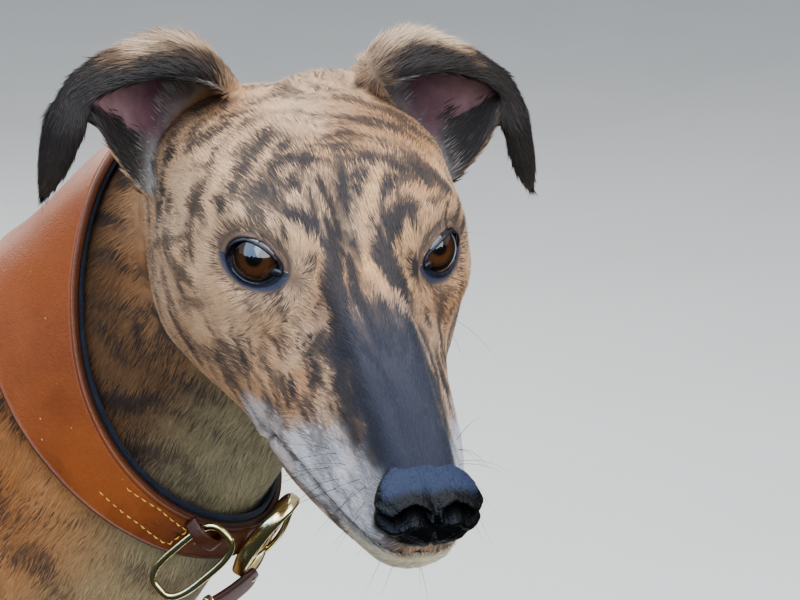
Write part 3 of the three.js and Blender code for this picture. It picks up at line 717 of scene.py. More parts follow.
class BodyMap:
    """Finds which run of the body a point belongs to, and where it lies on it."""

    def __init__(self) -> None:
        """Sets out the eight runs with their tiles of the unwrap: left, bottom, width, height."""
        places = np.linspace(0.0, 1.0, 90)
        self.regions = [self.head(places), self.limb("neck", NECK, places, (0.52, 0.52, 0.24, 0.46), -1),
                        self.trunk(places)]
        for k, side in enumerate(Side):
            for word, table, left in (("foreleg_", FORELEG, 0.52), ("hindleg_", HINDLEG, 0.76)):
                tile = (left + 0.12 * k, 0.02, 0.1, 0.46)
                self.regions.append(self.limb(word + side.word, table * side.mirror, places, tile))
        self.regions.append(self.limb("tail", TAIL_RUN, places, (0.9, 0.52, 0.08, 0.46)))
        self.names = [region.name for region in self.regions]

    @staticmethod
    def limb(name: str, table: Array, places: Array, tile: tuple[float, float, float, float], way: int = 1) -> Region:
        """The run of a leg, the neck or the tail, as its table goes, or from the table's end with a way of -1."""
        centres, ahead, side = limb_frames(table, places)
        return Region(name, centres[::way], side[::way], ahead[::way], rows_at(table, places)[::way, 3:6], tile)

    @staticmethod
    def trunk(places: Array) -> Region:
        """The run of the trunk, from the breast to the buttocks.

        Args:
            places: 0 at the breast and 1 at the buttocks.

        Returns:
            The run.
        """
        along, middle, wide, over, under, _ = rows_at(TRUNK, places).T
        count = len(places)
        centres = np.stack([np.zeros(count), along, middle], 1)
        return Region("trunk", centres, np.tile([1.0, 0, 0], (count, 1)), np.tile([0, 0, 1.0], (count, 1)),
                      np.stack([wide, over, under], 1), (0.02, 0.02, 0.48, 0.46))

    @staticmethod
    def head(places: Array) -> Region:
        """The run of the head, from the lips to the poll.

        Args:
            places: how its middle line is divided, 0 to 1.

        Returns:
            The run.
        """
        rows = rows_at(HEAD, places)[::-1]
        middle = rows[:, 1] * 0.5 + rows[:, 10] * 0.5
        centres = HEAD_FRAME.out(np.stack([rows[:, 0], np.zeros(len(rows)), middle], 1))
        axes = HEAD_FRAME.axes()
        wide = np.maximum(rows[:, 6], rows[:, 4])
        return Region("head", centres, np.tile(axes[1], (len(rows), 1)), np.tile(axes[2], (len(rows), 1)),
                      np.stack([wide, rows[:, 1] - middle, middle - rows[:, 10]], 1), (0.02, 0.52, 0.48, 0.46))

    def locate(self, points: Array) -> "Places":
        """Where every point lies on every run.

        Args:
            points: places in the part, (n, 3).

        Returns:
            The places, with each run's weight.
        """
        found = [region.locate(points) for region in self.regions]
        share = np.stack([f[2] for f in found], 1)
        pull = np.exp(-9.0 * (share - share.min(1, keepdims=True)))
        pull[pull < 0.03] = 0.0
        return Places(self, np.stack([f[0] for f in found], 1), np.stack([f[1] for f in found], 1),
                      pull / pull.sum(1, keepdims=True), np.stack([f[3] for f in found], 1))


@dataclass
class Places:
    """Points' lengths along the runs of the body, angles round them, and the runs' weights at them."""

    body: BodyMap
    along: Array
    angle: Array
    weight: Array
    index: Array

    def of(self, *words: str) -> Array:
        """The summed weight of the runs whose names begin with any of the words."""
        picked = [k for k, name in enumerate(self.body.names) if name.startswith(words)]
        return self.weight[:, picked].sum(1)

    def mixed(self, vectors: list[Array]) -> Array:
        """A vector from each run at each point, mixed by the runs' weights."""
        return sum(self.weight[:, k:k + 1] * vector[self.index[:, k]] for k, vector in enumerate(vectors))

    def flow(self) -> Array:
        """Millimetres along each point's strongest run and round it, and a number of its own for each run.

        Returns:
            Three numbers for each point.
        """
        strongest = self.weight.argmax(1)
        row = np.arange(len(strongest))
        reach = np.array([region.reaches.mean() for region in self.body.regions])[strongest]
        return np.stack([self.along[row, strongest], self.angle[row, strongest] * reach, 40.0 * strongest], 1)

    def unwrap(self) -> Array:
        """Each point's place on the unwrap of its strongest run: angle across its tile and length up it.

        Returns:
            Two numbers for each point, 0 to 1.
        """
        strongest = self.weight.argmax(1)
        row = np.arange(len(strongest))
        run = np.array([region.run[-1] for region in self.body.regions])[strongest]
        tile = np.array([region.tile for region in self.body.regions])[strongest]
        around = (self.angle[row, strongest] / (2.0 * np.pi)) % 1.0
        up = np.clip(self.along[row, strongest] / run, -0.02, 1.02)
        return np.stack([tile[:, 0] + tile[:, 2] * around, tile[:, 1] + tile[:, 3] * up], 1)


BODY = BodyMap()


@dataclass(frozen=True)
class Ridge:
    """A raised line or, with a negative height, a groove: height times exp(-(distance / width)^2)."""

    path: tuple[Triple, ...]
    width: float
    height: float
    through: bool = False

    def lift(self, points: Array) -> Array:
        """How far points are raised; a through line is measured without regard to the side.

        Args:
            points: places on the left side, (n, 3).

        Returns:
            Millimetres, (n,).
        """
        path = np.array(self.path)
        if self.through:
            points, path = points[:, 1:], path[:, 1:]
        near = np.abs(points - path.mean(0)).max(1) < np.ptp(path, axis=0).max() + 3.0 * self.width
        raised = np.zeros(len(points))
        raised[near] = self.height * np.exp(-(path_distance(points[near], path) / self.width) ** 2)
        return raised


# Muscle and bone under the skin, on the left side; the right side mirrors it
BODY_RIDGES = [
    Ridge(((42, -192, 690), (76, -225, 600), (86, -280, 520)), 10, 4),
    Ridge(((72, -150, 650), (96, -160, 560), (92, -188, 480)), 13, -5),
    Ridge(((90, -205, 560), (92, -208, 520)), 30, 4),
    Ridge(((50, -318, 580), (84, -306, 520), (84, -290, 470)), 12, -4),
    Ridge(((58, 60, 690), (84, 40, 600), (62, -2, 480)), 9, 2.5),
    Ridge(((62, 130, 655), (60, 165, 630)), 34, -5),
    Ridge(((25, -120, 715), (26, 20, 722), (24, 140, 738), (26, 260, 728)), 12, 2.5),
    Ridge(((0, -150, 720), (0, 0, 722), (0, 150, 739), (0, 330, 705)), 7, -1.6),
    Ridge(((54, 262, 702), (58, 275, 690)), 13, 5),
    Ridge(((62, 352, 640), (106, 356, 560), (98, 345, 480)), 11, -5),
    Ridge(((104, 245, 580), (104, 235, 520)), 32, 3),
    Ridge(((100, 222, 462), (96, 215, 440)), 12, 4),
    Ridge(((80, 316, 372), (79, 352, 318), (78, 394, 262)), 8, -4, True),
    Ridge(((80, -206, 385), (79, -208, 320), (78, -213, 220)), 6, -2.5, True),
    Ridge(((76, -208, 158), (76, -208, 148)), 8, 3),
    Ridge(((77, 442, 212), (77, 440, 200)), 9, 3.5),
    Ridge(((93, -190, 478), (93, -186, 462)), 12, 4),
    Ridge(((44, -440, 745), (66, -350, 622), (48, -318, 560)), 13, -4),
    Ridge(((40, -405, 690), (58, -330, 590), (30, -320, 540)), 14, 2.5),
] + [Ridge(((88, -118 + 27 * k, 650 - 2 * k), (100, -96 + 27 * k, 570), (86, -130 + 25 * k, 470)), 6.5, 1.5)
     for k in range(7)]

# Bone and folds of the head in its own axes, on the left side
HEAD_RIDGES = [
    Ridge(((-12, 43, 15), (-2, 37, 18), (9, 26, 15)), 6, 1.8),
    Ridge(((-45, 0, 31), (-10, 0, 21), (14, 0, 11)), 6, -1.6),
    Ridge(((14, 17, 4), (36, 17, -9)), 8, -1.4),
    Ridge(((12, 42, -15), (-12, 54, -15), (-42, 60, -14)), 7, 2),
    Ridge(((20, 34, -22), (34, 31, -28)), 10, -1.6),
    Ridge(((28, 11, 0), (95, 9, -18)), 4, 0.8),
    Ridge(((42, 25, -22), (96, 17, -30)), 7, -1.1),
    Ridge(((58, 28, -42), (98, 19, -42)), 7, 1.4),
    Ridge(((-45, 52, -42), (-40, 50, -52)), 20, 2.5),
    Ridge(((-28, 48, 12), (-40, 52, 8)), 13, -2),
    Ridge(((17, 23, -3), (30, 20, -14), (44, 21, -20)), 3.5, -0.8),
]


def placed(name: str, data: bpy.types.ID) -> bpy.types.Object:
    """An object that shows some data, put into the scene."""
    thing = bpy.data.objects.new(name, data)
    bpy.context.scene.collection.objects.link(thing)
    return thing


def plain_mesh(name: str, points: Array, faces: Array) -> bpy.types.Mesh:
    """A Blender mesh from points and triangles, put in as whole arrays.

    Args:
        name: the mesh's name.
        points: places in metres, (n, 3).
        faces: triangles as indices of points.

    Returns:
        The mesh.
    """
    mesh = bpy.data.meshes.new(name)
    mesh.vertices.add(len(points))
    mesh.vertices.foreach_set("co", np.ascontiguousarray(points, np.float32).ravel())
    mesh.loops.add(3 * len(faces))
    mesh.loops.foreach_set("vertex_index", np.ascontiguousarray(faces, np.int32).ravel())
    mesh.polygons.add(len(faces))
    mesh.polygons.foreach_set("loop_start", np.arange(0, 3 * len(faces), 3, dtype=np.int32))
    mesh.update(calc_edges=True)
    return mesh


def taken(thing: bpy.types.Object) -> Surface:
    """An object's mesh with its modifiers applied, as triangles in millimetres.

    Args:
        thing: the object.

    Returns:
        Its surface.
    """
    held = thing.evaluated_get(bpy.context.evaluated_depsgraph_get())
    mesh = held.to_mesh()
    mesh.calc_loop_triangles()
    points = np.empty(3 * len(mesh.vertices), np.float32)
    mesh.vertices.foreach_get("co", points)
    faces = np.empty(3 * len(mesh.loop_triangles), np.int32)
    mesh.loop_triangles.foreach_get("vertices", faces)
    held.to_mesh_clear()
    return Surface(points.reshape(-1, 3).astype(float) / METRE, faces.reshape(-1, 3).astype(int))


def modified(surface: Surface, kind: str, loose: Array | None = None, **settings: str | float) -> Surface:
    """The surface after one modifier.

    Args:
        surface: what it works on.
        kind: the modifier's type.
        loose: the points of the group named loose, where it reads one.
        settings: the modifier's properties.

    Returns:
        The new surface.
    """
    mesh = plain_mesh("work", surface.points * METRE, surface.faces)
    thing = placed("work", mesh)
    if loose is not None:
        thing.vertex_groups.new(name="loose").add(loose.tolist(), 1.0, "REPLACE")
    modifier = thing.modifiers.new("work", kind)
    for key, value in settings.items():
        setattr(modifier, key, value)
    made = taken(thing)
    bpy.data.objects.remove(thing)
    bpy.data.meshes.remove(mesh)
    return made


def voxel_skin(surface: Surface, pitch: float) -> Surface:
    """One closed skin round overlapping closed surfaces, remeshed on a grid of that pitch."""
    return modified(surface, "REMESH", mode="VOXEL", voxel_size=pitch * METRE)


def thinned(surface: Surface, kept: Array, count: int) -> Surface:
    """The surface brought down to a count of triangles, untouched at the points where kept is true."""
    share = count / len(surface.faces)
    return modified(surface, "DECIMATE", np.flatnonzero(~kept), vertex_group="loose", ratio=share)


@dataclass
class EarMap:
    """Finds where points lie on the two ears: place from root to tip, share across, and inside or outside."""

    rings: int = 60
    across: int = 26

    def __post_init__(self) -> None:
        """Sets out sample points on both faces of both ears."""
        places, shares = np.linspace(0.0, 1.0, self.rings), np.linspace(-1.0, 1.0, self.across)
        points, along, normals, outer = [], [], [], []
        for side in Side:
            for inset in (0.45, EAR_THICKNESS - 0.3):
                sheet = HEAD_FRAME.out(Ear(side).sheet(places, shares, inset))
                run, width = np.gradient(sheet, axis=0), np.gradient(sheet, axis=1)
                normal = unit(np.cross(run, width))
                away = sheet - sheet.mean(1, keepdims=True)
                normal *= np.sign((normal * away).sum(-1).sum(-1))[:, None, None]
                points.append(sheet.reshape(-1, 3))
                along.append(unit(run).reshape(-1, 3))
                normals.append((normal if inset < 1.0 else -normal).reshape(-1, 3))
                outer.append(np.full(self.rings * self.across, inset < 1.0))
        self.points, self.along = np.concatenate(points), np.concatenate(along)
        self.normals, self.outer = np.concatenate(normals), np.concatenate(outer)
        grid = np.meshgrid(places, shares, indexing="ij")
        self.place, self.share = np.tile(grid[0].ravel(), 4), np.tile(grid[1].ravel(), 4)

    def locate(self, points: Array) -> "EarPlaces":
        """Where points lie on the ears.

        Args:
            points: places in the part.

        Returns:
            Each point's place; far ones have no weight.
        """
        near = np.nonzero(np.linalg.norm(points - HEAD_FRAME.out(np.array([-75.0, 0.0, 20.0])), axis=1) < 140.0)[0]
        index = np.zeros(len(points), int)
        distance = np.full(len(points), 99.0)
        index[near], distance[near] = nearest(points[near], self.points)
        place = self.place[index]
        weight = (1.0 - ease(3.0, 6.0, distance)) * ease(0.02, 0.14, place)
        return EarPlaces(place, self.share[index], self.outer[index], weight, self.along[index], self.normals[index],
                         self.points[index])


@dataclass
class EarPlaces:
    """Points' places on the ears, with how surely they belong to them."""

    place: Array
    share: Array
    outer: Array
    weight: Array
    along: Array
    normal: Array
    sample: Array


EARS = EarMap()


def refined(surface: Surface, chosen: Array) -> Surface:
    """The surface with its chosen triangles cut in four, and their neighbours cut so that no gap opens.

    Args:
        surface: the coarse surface.
        chosen: which faces, as booleans.

    Returns:
        The finer surface: every cut edge gets a point in its middle.
    """
    count = len(surface.points)
    faces = surface.faces.astype(np.int64)
    ends = np.sort(np.stack([faces, np.roll(faces, -1, 1)], -1), axis=-1)
    keys = ends[..., 0] * count + ends[..., 1]
    cut = np.unique(keys[chosen])
    flagged = np.isin(keys, cut)
    # Turns each face so that its cut edges come first
    number = flagged.sum(1)
    turn = np.where(number == 1, flagged.argmax(1), np.where(number == 2, (np.argmin(flagged, 1) + 1) % 3, 0))
    order = (np.arange(3)[None] + turn[:, None]) % 3
    faces = np.take_along_axis(faces, order, 1)
    keys = np.take_along_axis(keys, order, 1)
    middle = count + np.searchsorted(cut, keys)
    v0, v1, v2 = faces.T
    m0, m1, m2 = middle.T
    parts = [faces[number == 0]]
    for wanted, corners in ((1, ((v0, m0, v2), (m0, v1, v2))), (2, ((m0, v1, m1), (v0, m0, m1), (v0, m1, v2))),
                            (3, ((v0, m0, m2), (v1, m1, m0), (v2, m2, m1), (m0, m1, m2)))):
        picked = number == wanted
        parts += [np.stack([c[picked] for c in triangle], 1) for triangle in corners]
    middles = 0.5 * (surface.points[cut // count] + surface.points[cut % count])
    return Surface(np.concatenate([surface.points, middles]), np.concatenate(parts))


@dataclass(frozen=True)
class Lids:
    """The opening between one eye's lids, measured round the middle of the eyeball."""

    side: Side
    half_length: float = 10.7
    top: float = 8.9
    bottom: float = 6.3
    skew: float = 0.7
    depth: float = 7.2
    thickness: float = 0.8

    def centre(self) -> Array:
        """The middle of the eyeball in the head's axes."""
        return EYE_CENTRE * np.array([1.0, self.side.value, 1.0])

    def axes(self) -> Array:
        """Rows: towards the temple, up, and out of the opening, in the head's axes.

        Returns:
            A (3, 3) array.
        """
        turn = math.radians(LIDS_TURN)
        s = self.side.value
        sine, cosine = math.sin(turn), math.cos(turn)
        return np.array([[-sine, s * cosine, 0], [0, 0, 1], [cosine, s * sine, 0]])

    def into(self, head_points: Array) -> Array:
        """Head places in the lids' own axes."""
        return (head_points - self.centre()) @ self.axes().T

    def out(self, points: Array) -> Array:
        """Places in the lids' own axes as head places."""
        return points @ self.axes() + self.centre()

    def rim(self, angles: Array, grow: float = 0.0, ball: float = EYE_RADIUS + 0.7) -> Array:
        """The lids' edge: an almond, across = L cos(a) plus a skew, up = H |sin(a)|^1.1, laid on a ball.

        Args:
            angles: round the opening from the temple's corner over the top.
            grow: how far outside the edge.
            ball: the radius of the ball that it is laid on.

        Returns:
            Points in the lids' axes, (n, 3).
        """
        c, s = np.cos(angles), np.sin(angles)
        high = np.where(s > 0, self.top, self.bottom)
        x = 0.3 + (self.half_length + grow) * c + self.skew * s * np.abs(s)
        z = (high + grow) * np.sign(s) * np.abs(s) ** 1.1 + 0.5 * c
        y = np.sqrt(np.maximum(ball ** 2 - x ** 2 - z ** 2, self.depth ** 2))
        return np.stack([x, z, y], 1)

    def share(self, points: Array) -> Array:
        """How far out points lie in the opening: 0 in its middle, 1 on its edge; behind the eye, far out.

        Args:
            points: places in the lids' axes, (n, 3).

        Returns:
            Shares, (n,).
        """
        edge = self.rim(np.linspace(0.0, 2.0 * np.pi, 181))
        bearing = np.unwrap(np.arctan2(edge[:, 1], edge[:, 0]))
        reach = np.hypot(edge[:, 0], edge[:, 1])
        order = np.argsort(bearing[:-1] % (2.0 * np.pi))
        turned = (bearing[:-1] % (2.0 * np.pi))[order]
        own = np.arctan2(points[:, 1], points[:, 0]) % (2.0 * np.pi)
        limit = np.interp(own, turned, reach[:-1][order], period=2.0 * np.pi)
        return np.where(points[:, 2] > 0.0, np.hypot(points[:, 0], points[:, 1]) / limit, 9.0)

    def shaped(self, head_points: Array) -> Array:
        """The skin laid over the eyeball round the opening, and sunk behind it inside.

        Args:
            head_points: places in the head's axes, (n, 3).

        Returns:
            The moved points.
        """
        local = self.into(head_points)
        share = self.share(local)
        distance = np.linalg.norm(local, axis=1)
        crease = 0.7 * np.exp(-((share - 1.42) / 0.07) ** 2)
        cover = EYE_RADIUS + self.thickness + 0.5 * ease(1.0, 1.35, share) - crease
        pull = 1.0 - ease(1.1, 1.95, share)
        target = distance + (np.maximum(cover, np.where(share > 0.9, 10.0, 0.0)) - distance) * pull
        target = np.where(share < 1.0, np.minimum(distance, EYE_RADIUS - 2.5), target)
        near = share < 2.0
        local[near] *= (target[near] / distance[near])[:, None]
        return self.out(local)


LIDS = {side: Lids(side) for side in Side}


@dataclass
class Skin:
    """One skin over the whole animal, inside the solids by the coat's depth."""

    coat_depth: float = 1.7
    face_depth: float = 1.2
    leg_depth: float = 1.2
    tail_depth: float = 0.8
    toe_depth: float = 0.7
    most_muscle: float = 4.0
    body_pitch: float = 4.0
    pitch: float = 1.45
    quick_pitch: float = 2.2
    lowest: float = 0.5
    body_faces: int = 76000
    faces: int = 152000

    def body(self) -> Surface:
        """Trunk, neck, legs and tail as one coarse surface with eased joins and muscle under it.

        Returns:
            The surface, before the head, the ears and the paws are joined to it.
        """
        angles = turns(48)
        places = np.linspace(0.0, 1.0, 70)
        rows = places[:, None]
        lofts = [closed_loft(trunk_surface(places, angles, -self.coat_depth)),
                 closed_loft(limb_points(NECK, rows, angles, -self.coat_depth)),
                 closed_loft(limb_points(TAIL_RUN, rows, angles[::2], -self.tail_depth))]
        for side in Side:
            for table in (FORELEG, HINDLEG):
                lofts.append(closed_loft(limb_points(table * side.mirror, rows, angles, -self.leg_depth)))
        rough = voxel_skin(joined(lofts), self.body_pitch)
        hollow = rough.spread(self.hollow(rough, 1.2), 8)
        rough = rough.smoothed(45, np.clip(3.0 * hollow, 0.0, 1.0))
        rough = rough.smoothed(6, 0.8, keep=0.9)
        lift = np.zeros(len(rough.points))
        mirrored = rough.points.copy()
        mirrored[:, 0] = np.abs(mirrored[:, 0])
        for ridge in BODY_RIDGES:
            lift += ridge.lift(mirrored)
        lift = np.minimum(lift, self.most_muscle)
        return Surface(rough.points + rough.normals() * lift[:, None], rough.faces)

    @staticmethod
    def hollow(surface: Surface, scale: float) -> Array:
        """How sharply the surface is folded inwards at each point: its neighbours' mean lies outside it."""
        flat = surface.smoothed(1).points - surface.points
        return np.clip(np.einsum("ij,ij->i", flat, surface.normals()) / scale * 2.0, 0.0, 1.0)

    def paws(self) -> list[Surface]:
        """Toes and pads: each toe a short bent loft over its knuckle to its tip.

        Returns:
            Four toes and a pad for each paw.
        """
        made = []
        angles = turns(20)
        for side in Side:
            for heel in (FORE_HEEL, HIND_HEEL):
                x, y = heel[0] * side.value, heel[1]
                for aside, reach in TOES:
                    a = aside * side.value
                    rows = [[x + a * 0.6, y + 8, 32, 8], [x + a * 0.75, y, 33, 11], [x + a * 0.9, y - 14, 30.5, 11.2],
                            [x + a, y - 25, 25.5, 10.2], [x + a * 1.04, y - reach + 16, 15, 9.2],
                            [x + a * 1.06, y - reach + 9, 10, 9.6], [x + a * 1.07, y - reach + 2, 8, 7.6],
                            [x + a * 1.07, y - reach, 7.2, 4.0]]
                    table = np.array([[*row[:3], row[3] * 0.82, row[3], row[3]] for row in rows])
                    toe = limb_points(table, np.linspace(0, 1, 24)[:, None], angles, -self.toe_depth)
                    made.append(closed_loft(toe))
                pad = globe(16, 20)[..., [1, 0, 2]] * (16.5, 13.0, 12.5) + (x, y - 7.0, 11.5)
                made.append(closed_loft(pad))
        return made

    def head(self) -> Surface:
        """The head's loft, inside the solid by the face's coat."""
        rings = head_surface(np.linspace(0.0, 1.0, 110), np.linspace(0.0, 1.0, 90, endpoint=False), -self.face_depth)
        return closed_loft(HEAD_FRAME.out(rings))

    def build(self) -> Surface:
        """The finished skin: joined, eased at its hollows, then lids, bone, lips and toes, then thinned.

        Returns:
            The skin.
        """
        ears = [Ear(side).leather(-0.5, 4.2) for side in Side]
        parts = joined([self.body(), self.head(), *self.paws(), *ears])
        fine = voxel_skin(parts, self.pitch)
        head = HEAD_FRAME.into(fine.points)
        on_face = (head[:, 0] > -140.0) & (np.linalg.norm(fine.points - EYES_AT, axis=1) < 260.0)
        on_face &= fine.points[:, 2] > 640.0
        toes = fine.points[:, 2] < 55.0
        fold = fine.spread(self.hollow(fine, 0.35), 5)
        sheets = [Ear(side).sheet(np.linspace(0.2, 1, 40), np.linspace(-1, 1, 14), 1.8) for side in Side]
        ears = np.minimum(*(nearest(head, sheet.reshape(-1, 3))[1] for sheet in sheets)) < 5.0
        weight = np.clip(3.0 * fold, 0.0, 1.0) * np.where(toes | ears, 0.25, 1.0)
        fine = fine.smoothed(26, weight)
        fine = fine.smoothed(3, np.where(ears, 0.5, 1.0), keep=0.8)
        fine.points[:, 2] = np.maximum(fine.points[:, 2], self.lowest)
        fine = self.thin_ears(fine)
        # The body is thinned first, with the face kept, and then both together
        spare = int((~on_face[fine.faces].any(1)).sum()) - self.body_faces
        fine = thinned(fine, on_face, len(fine.faces) - max(spare, 0))
        fine = thinned(fine, np.zeros(len(fine.points), bool), min(self.faces, len(fine.faces)))
        for reach, muzzle in ((25.0, 82.0), (18.0, 999.0)):
            fine = refined(fine, self.detailed(HEAD_FRAME.into(fine.points[fine.faces].mean(1)), reach, muzzle))
        on_face = np.linalg.norm(fine.points - EYES_AT, axis=1) < 200.0
        head = self.faced(HEAD_FRAME.into(fine.points), fine)
        return Surface(np.where(on_face[:, None], HEAD_FRAME.out(head), fine.points), fine.faces).turned_out()

    @staticmethod
    def detailed(head: Array, reach: float, muzzle: float) -> Array:
        """Which places lie within reach of an eye's opening or ahead of a place on the muzzle.

        Args:
            head: places in the head's axes, (n, 3).
            reach: how near an eye's opening.
            muzzle: from how far ahead.

        Returns:
            Booleans, (n,).
        """
        close = np.zeros(len(head), bool)
        for lids in LIDS.values():
            at = lids.out(np.array([0.0, 1.5, 10.0]))
            close |= np.linalg.norm(head - at, axis=1) < reach
        return close | (head[:, 0] > muzzle)

    @staticmethod
    def thin_ears(fine: Surface) -> Surface:
        """The ears brought in to their thin leather: what lies outside it moves back along its normal.

        Args:
            fine: the skin with ears of the solids' thickness.

        Returns:
            The skin with thin ears.
        """
        ears = EARS.locate(fine.points)
        over = np.maximum(np.einsum("ij,ij->i", fine.points - ears.sample, ears.normal), 0.0)
        pull = ears.weight * ease(0.1, 0.28, ears.place) * over
        moved = Surface(fine.points - ears.normal * pull[:, None], fine.faces)
        return moved.smoothed(3, ears.weight * ease(0.1, 0.28, ears.place))

    def faced(self, head: Array, fine: Surface) -> Array:
        """Bone, folds, lids, lips and the seat of the nose on the head.

        Args:
            head: the skin's points in the head's axes.
            fine: the skin, for its normals.

        Returns:
            The moved points in the head's axes.
        """
        normals = fine.normals() @ HEAD_FRAME.axes().T
        mirrored = head.copy()
        mirrored[:, 1] = np.abs(mirrored[:, 1])
        lift = sum(ridge.lift(mirrored) for ridge in HEAD_RIDGES)
        lift -= 2.6 * np.exp(-(self.off_mouth(head) / 1.9) ** 2) * ease(28.0, 36.0, head[:, 0])
        lift += 0.9 * np.exp(-((self.off_mouth(head) - 4.0) / 2.6) ** 2) * ease(34.0, 60.0, head[:, 0])
        philtrum = np.exp(-(head[:, 1] / 1.1) ** 2) * ease(112.0, 118.0, head[:, 0]) * ease(-52.0, -46.0, head[:, 2])
        lift -= 1.6 * philtrum
        head = head + normals * lift[:, None]
        for lids in LIDS.values():
            head = lids.shaped(head)
        return head

    @staticmethod
    def off_mouth(head: Array) -> Array:
        """How far above the mouth's line points lie, negative below it; the line bows through its stations."""
        order = MOUTH[::-1]
        line = np.interp(head[:, 0], order[:, 0], order[:, 1])
        return head[:, 2] - line


class Value:
    """A shader's number that Python's operators work on; each operator adds its Math node."""

    def __init__(self, shader: "Shader", socket: Socket) -> None:
        """Wraps a socket of that shader."""
        self.shader = shader
        self.socket = socket

    def math(self, operation: str, *values: "Value | float", clamp: bool = False) -> "Value":
        """One Math node on this value and others."""
        feeds = dict(enumerate([self, *values]))
        return self.shader.node("Math", {"operation": operation, "use_clamp": clamp}, feeds).value()

    def __add__(self, other: "Value | float") -> "Value":
        """The sum."""
        return self.math("ADD", other)

    def __sub__(self, other: "Value | float") -> "Value":
        """The difference."""
        return self.math("SUBTRACT", other)

    def __mul__(self, other: "Value | float") -> "Value":
        """The product."""
        return self.math("MULTIPLY", other)

    def __rsub__(self, other: float) -> "Value":
        """A number less this value."""
        return self.shader.node("Math", {"operation": "SUBTRACT"}, {0: other, 1: self}).value()

    __radd__ = __add__
    __rmul__ = __mul__

    def step(self, low: float, high: float) -> "Value":
        """A smooth step from 0 at low to 1 at high."""
        settings = {"interpolation_type": "SMOOTHSTEP"}
        return self.shader.node("MapRange", settings, {"Value": self, "From Min": low, "From Max": high}).value()

    def clamped(self) -> "Value":
        """This value held between 0 and 1."""
        return self.math("ADD", 0.0, clamp=True)


class Made:
    """A node that a shader has made, with its outputs as values or colours."""

    def __init__(self, shader: "Shader", node: bpy.types.Node) -> None:
        """Wraps a node of that shader."""
        self.shader = shader
        self.node = node

    def value(self, name: str | int = 0) -> Value:
        """An output as a value."""
        return Value(self.shader, self.node.outputs[name])

    def socket(self, name: str | int = 0) -> Socket:
        """An output as it is, for colours and vectors."""
        return self.node.outputs[name]


Feed = Value | Socket | float | tuple


def tone(red: float, green: float, blue: float) -> tuple[float, float, float, float]:
    """A display colour, 0 to 255, as a shader's linear colour."""
    share = np.array([red, green, blue]) / 255.0
    linear = np.where(share <= 0.04045, share / 12.92, ((share + 0.055) / 1.055) ** 2.4)
    return (float(linear[0]), float(linear[1]), float(linear[2]), 1.0)


class Shader:
    """One material's node tree under construction."""

    def __init__(self, name: str) -> None:
        """Starts a material with an empty tree and its surface shader.

        Args:
            name: the material's name.
        """
        self.material = bpy.data.materials.new(name)
        self.material.use_nodes = True
        self.tree = self.material.node_tree
        self.tree.nodes.clear()
        self.surface = self.node("BsdfPrincipled")
        output = self.node("OutputMaterial")
        self.tree.links.new(self.surface.node.outputs[0], output.node.inputs[0])

    def node(self, kind: str, settings: dict | None = None, feeds: dict[str | int, Feed] | None = None) -> Made:
        """Makes a node.

        Args:
            kind: its type without the word ShaderNode.
            settings: its properties, set first; stops gives a ramp's (place, colour) pairs.
            feeds: values or links for its inputs.

        Returns:
            The made node.
        """
        node = self.tree.nodes.new("ShaderNode" + kind)
        for key, value in (settings or {}).items():
            if key == "stops":
                while len(node.color_ramp.elements) < len(value):
                    node.color_ramp.elements.new(0.5)
                for element, (place, colour) in zip(node.color_ramp.elements, value):
                    element.position, element.color = place, colour
            else:
                setattr(node, key, value)
        for key, feed in (feeds or {}).items():
            self.feed(node.inputs[key], feed)
        return Made(self, node)

    def feed(self, socket: Socket, feed: Feed) -> None:
        """Links a value or sets a constant.

        Args:
            socket: an input.
            feed: a value, an output or a constant.
        """
        if isinstance(feed, Value):
            self.tree.links.new(feed.socket, socket)
        elif isinstance(feed, Socket):
            self.tree.links.new(feed, socket)
        else:
            socket.default_value = feed

    def places(self, scale: Triple = (1.0, 1.0, 1.0)) -> Socket:
        """Object coordinates, in metres, scaled by axis."""
        return self.node("Mapping", {}, {"Vector": self.node("TexCoord").socket("Object"), "Scale": scale}).socket()

    def attribute(self, name: str, output: str) -> Socket:
        """A named attribute of the mesh: its Color, Vector or Fac."""
        return self.node("Attribute", {"attribute_name": name}).socket(output)

    def number(self, name: str) -> Value:
        """A named attribute of the mesh as a value."""
        return Value(self, self.attribute(name, "Fac"))

    def noise(self, vector: Socket, scale: float, detail: float = 3.0, rough: float = 0.5) -> Value:
        """Noise of about 0 to 1 at that many cells to the metre."""
        feeds = {"Vector": vector, "Scale": scale, "Detail": detail, "Roughness": rough}
        return self.node("TexNoise", {}, feeds).value("Fac")

    def cells(self, vector: Socket, scale: float) -> Value:
        """The distance in a field of cells."""
        return self.node("TexVoronoi", {}, {"Vector": vector, "Scale": scale}).value("Distance")

    def mix(self, share: Feed, one: Feed, other: Feed) -> Socket:
        """A colour between two."""
        return self.node("Mix", {"data_type": "RGBA"}, {0: share, 6: one, 7: other}).socket(2)

    def shaded(self, colour: Feed, factor: Value) -> Socket:
        """A colour times a value."""
        return self.node("VectorMath", {"operation": "SCALE"}, {0: colour, "Scale": factor}).socket()

    def bump(self, height: Value, distance: float, strength: float = 1.0) -> None:
        """Raises the surface's shading by a height times a distance in metres."""
        feeds = {"Height": height, "Distance": distance, "Strength": strength}
        self.set(Normal=self.node("Bump", {}, feeds).socket())

    def set(self, **feeds: Feed) -> "Shader":
        """Sets or links the surface's sockets; an underscore in a name stands for a space."""
        for key, feed in feeds.items():
            self.feed(self.surface.node.inputs[key.replace("_", " ")], feed)
        return self


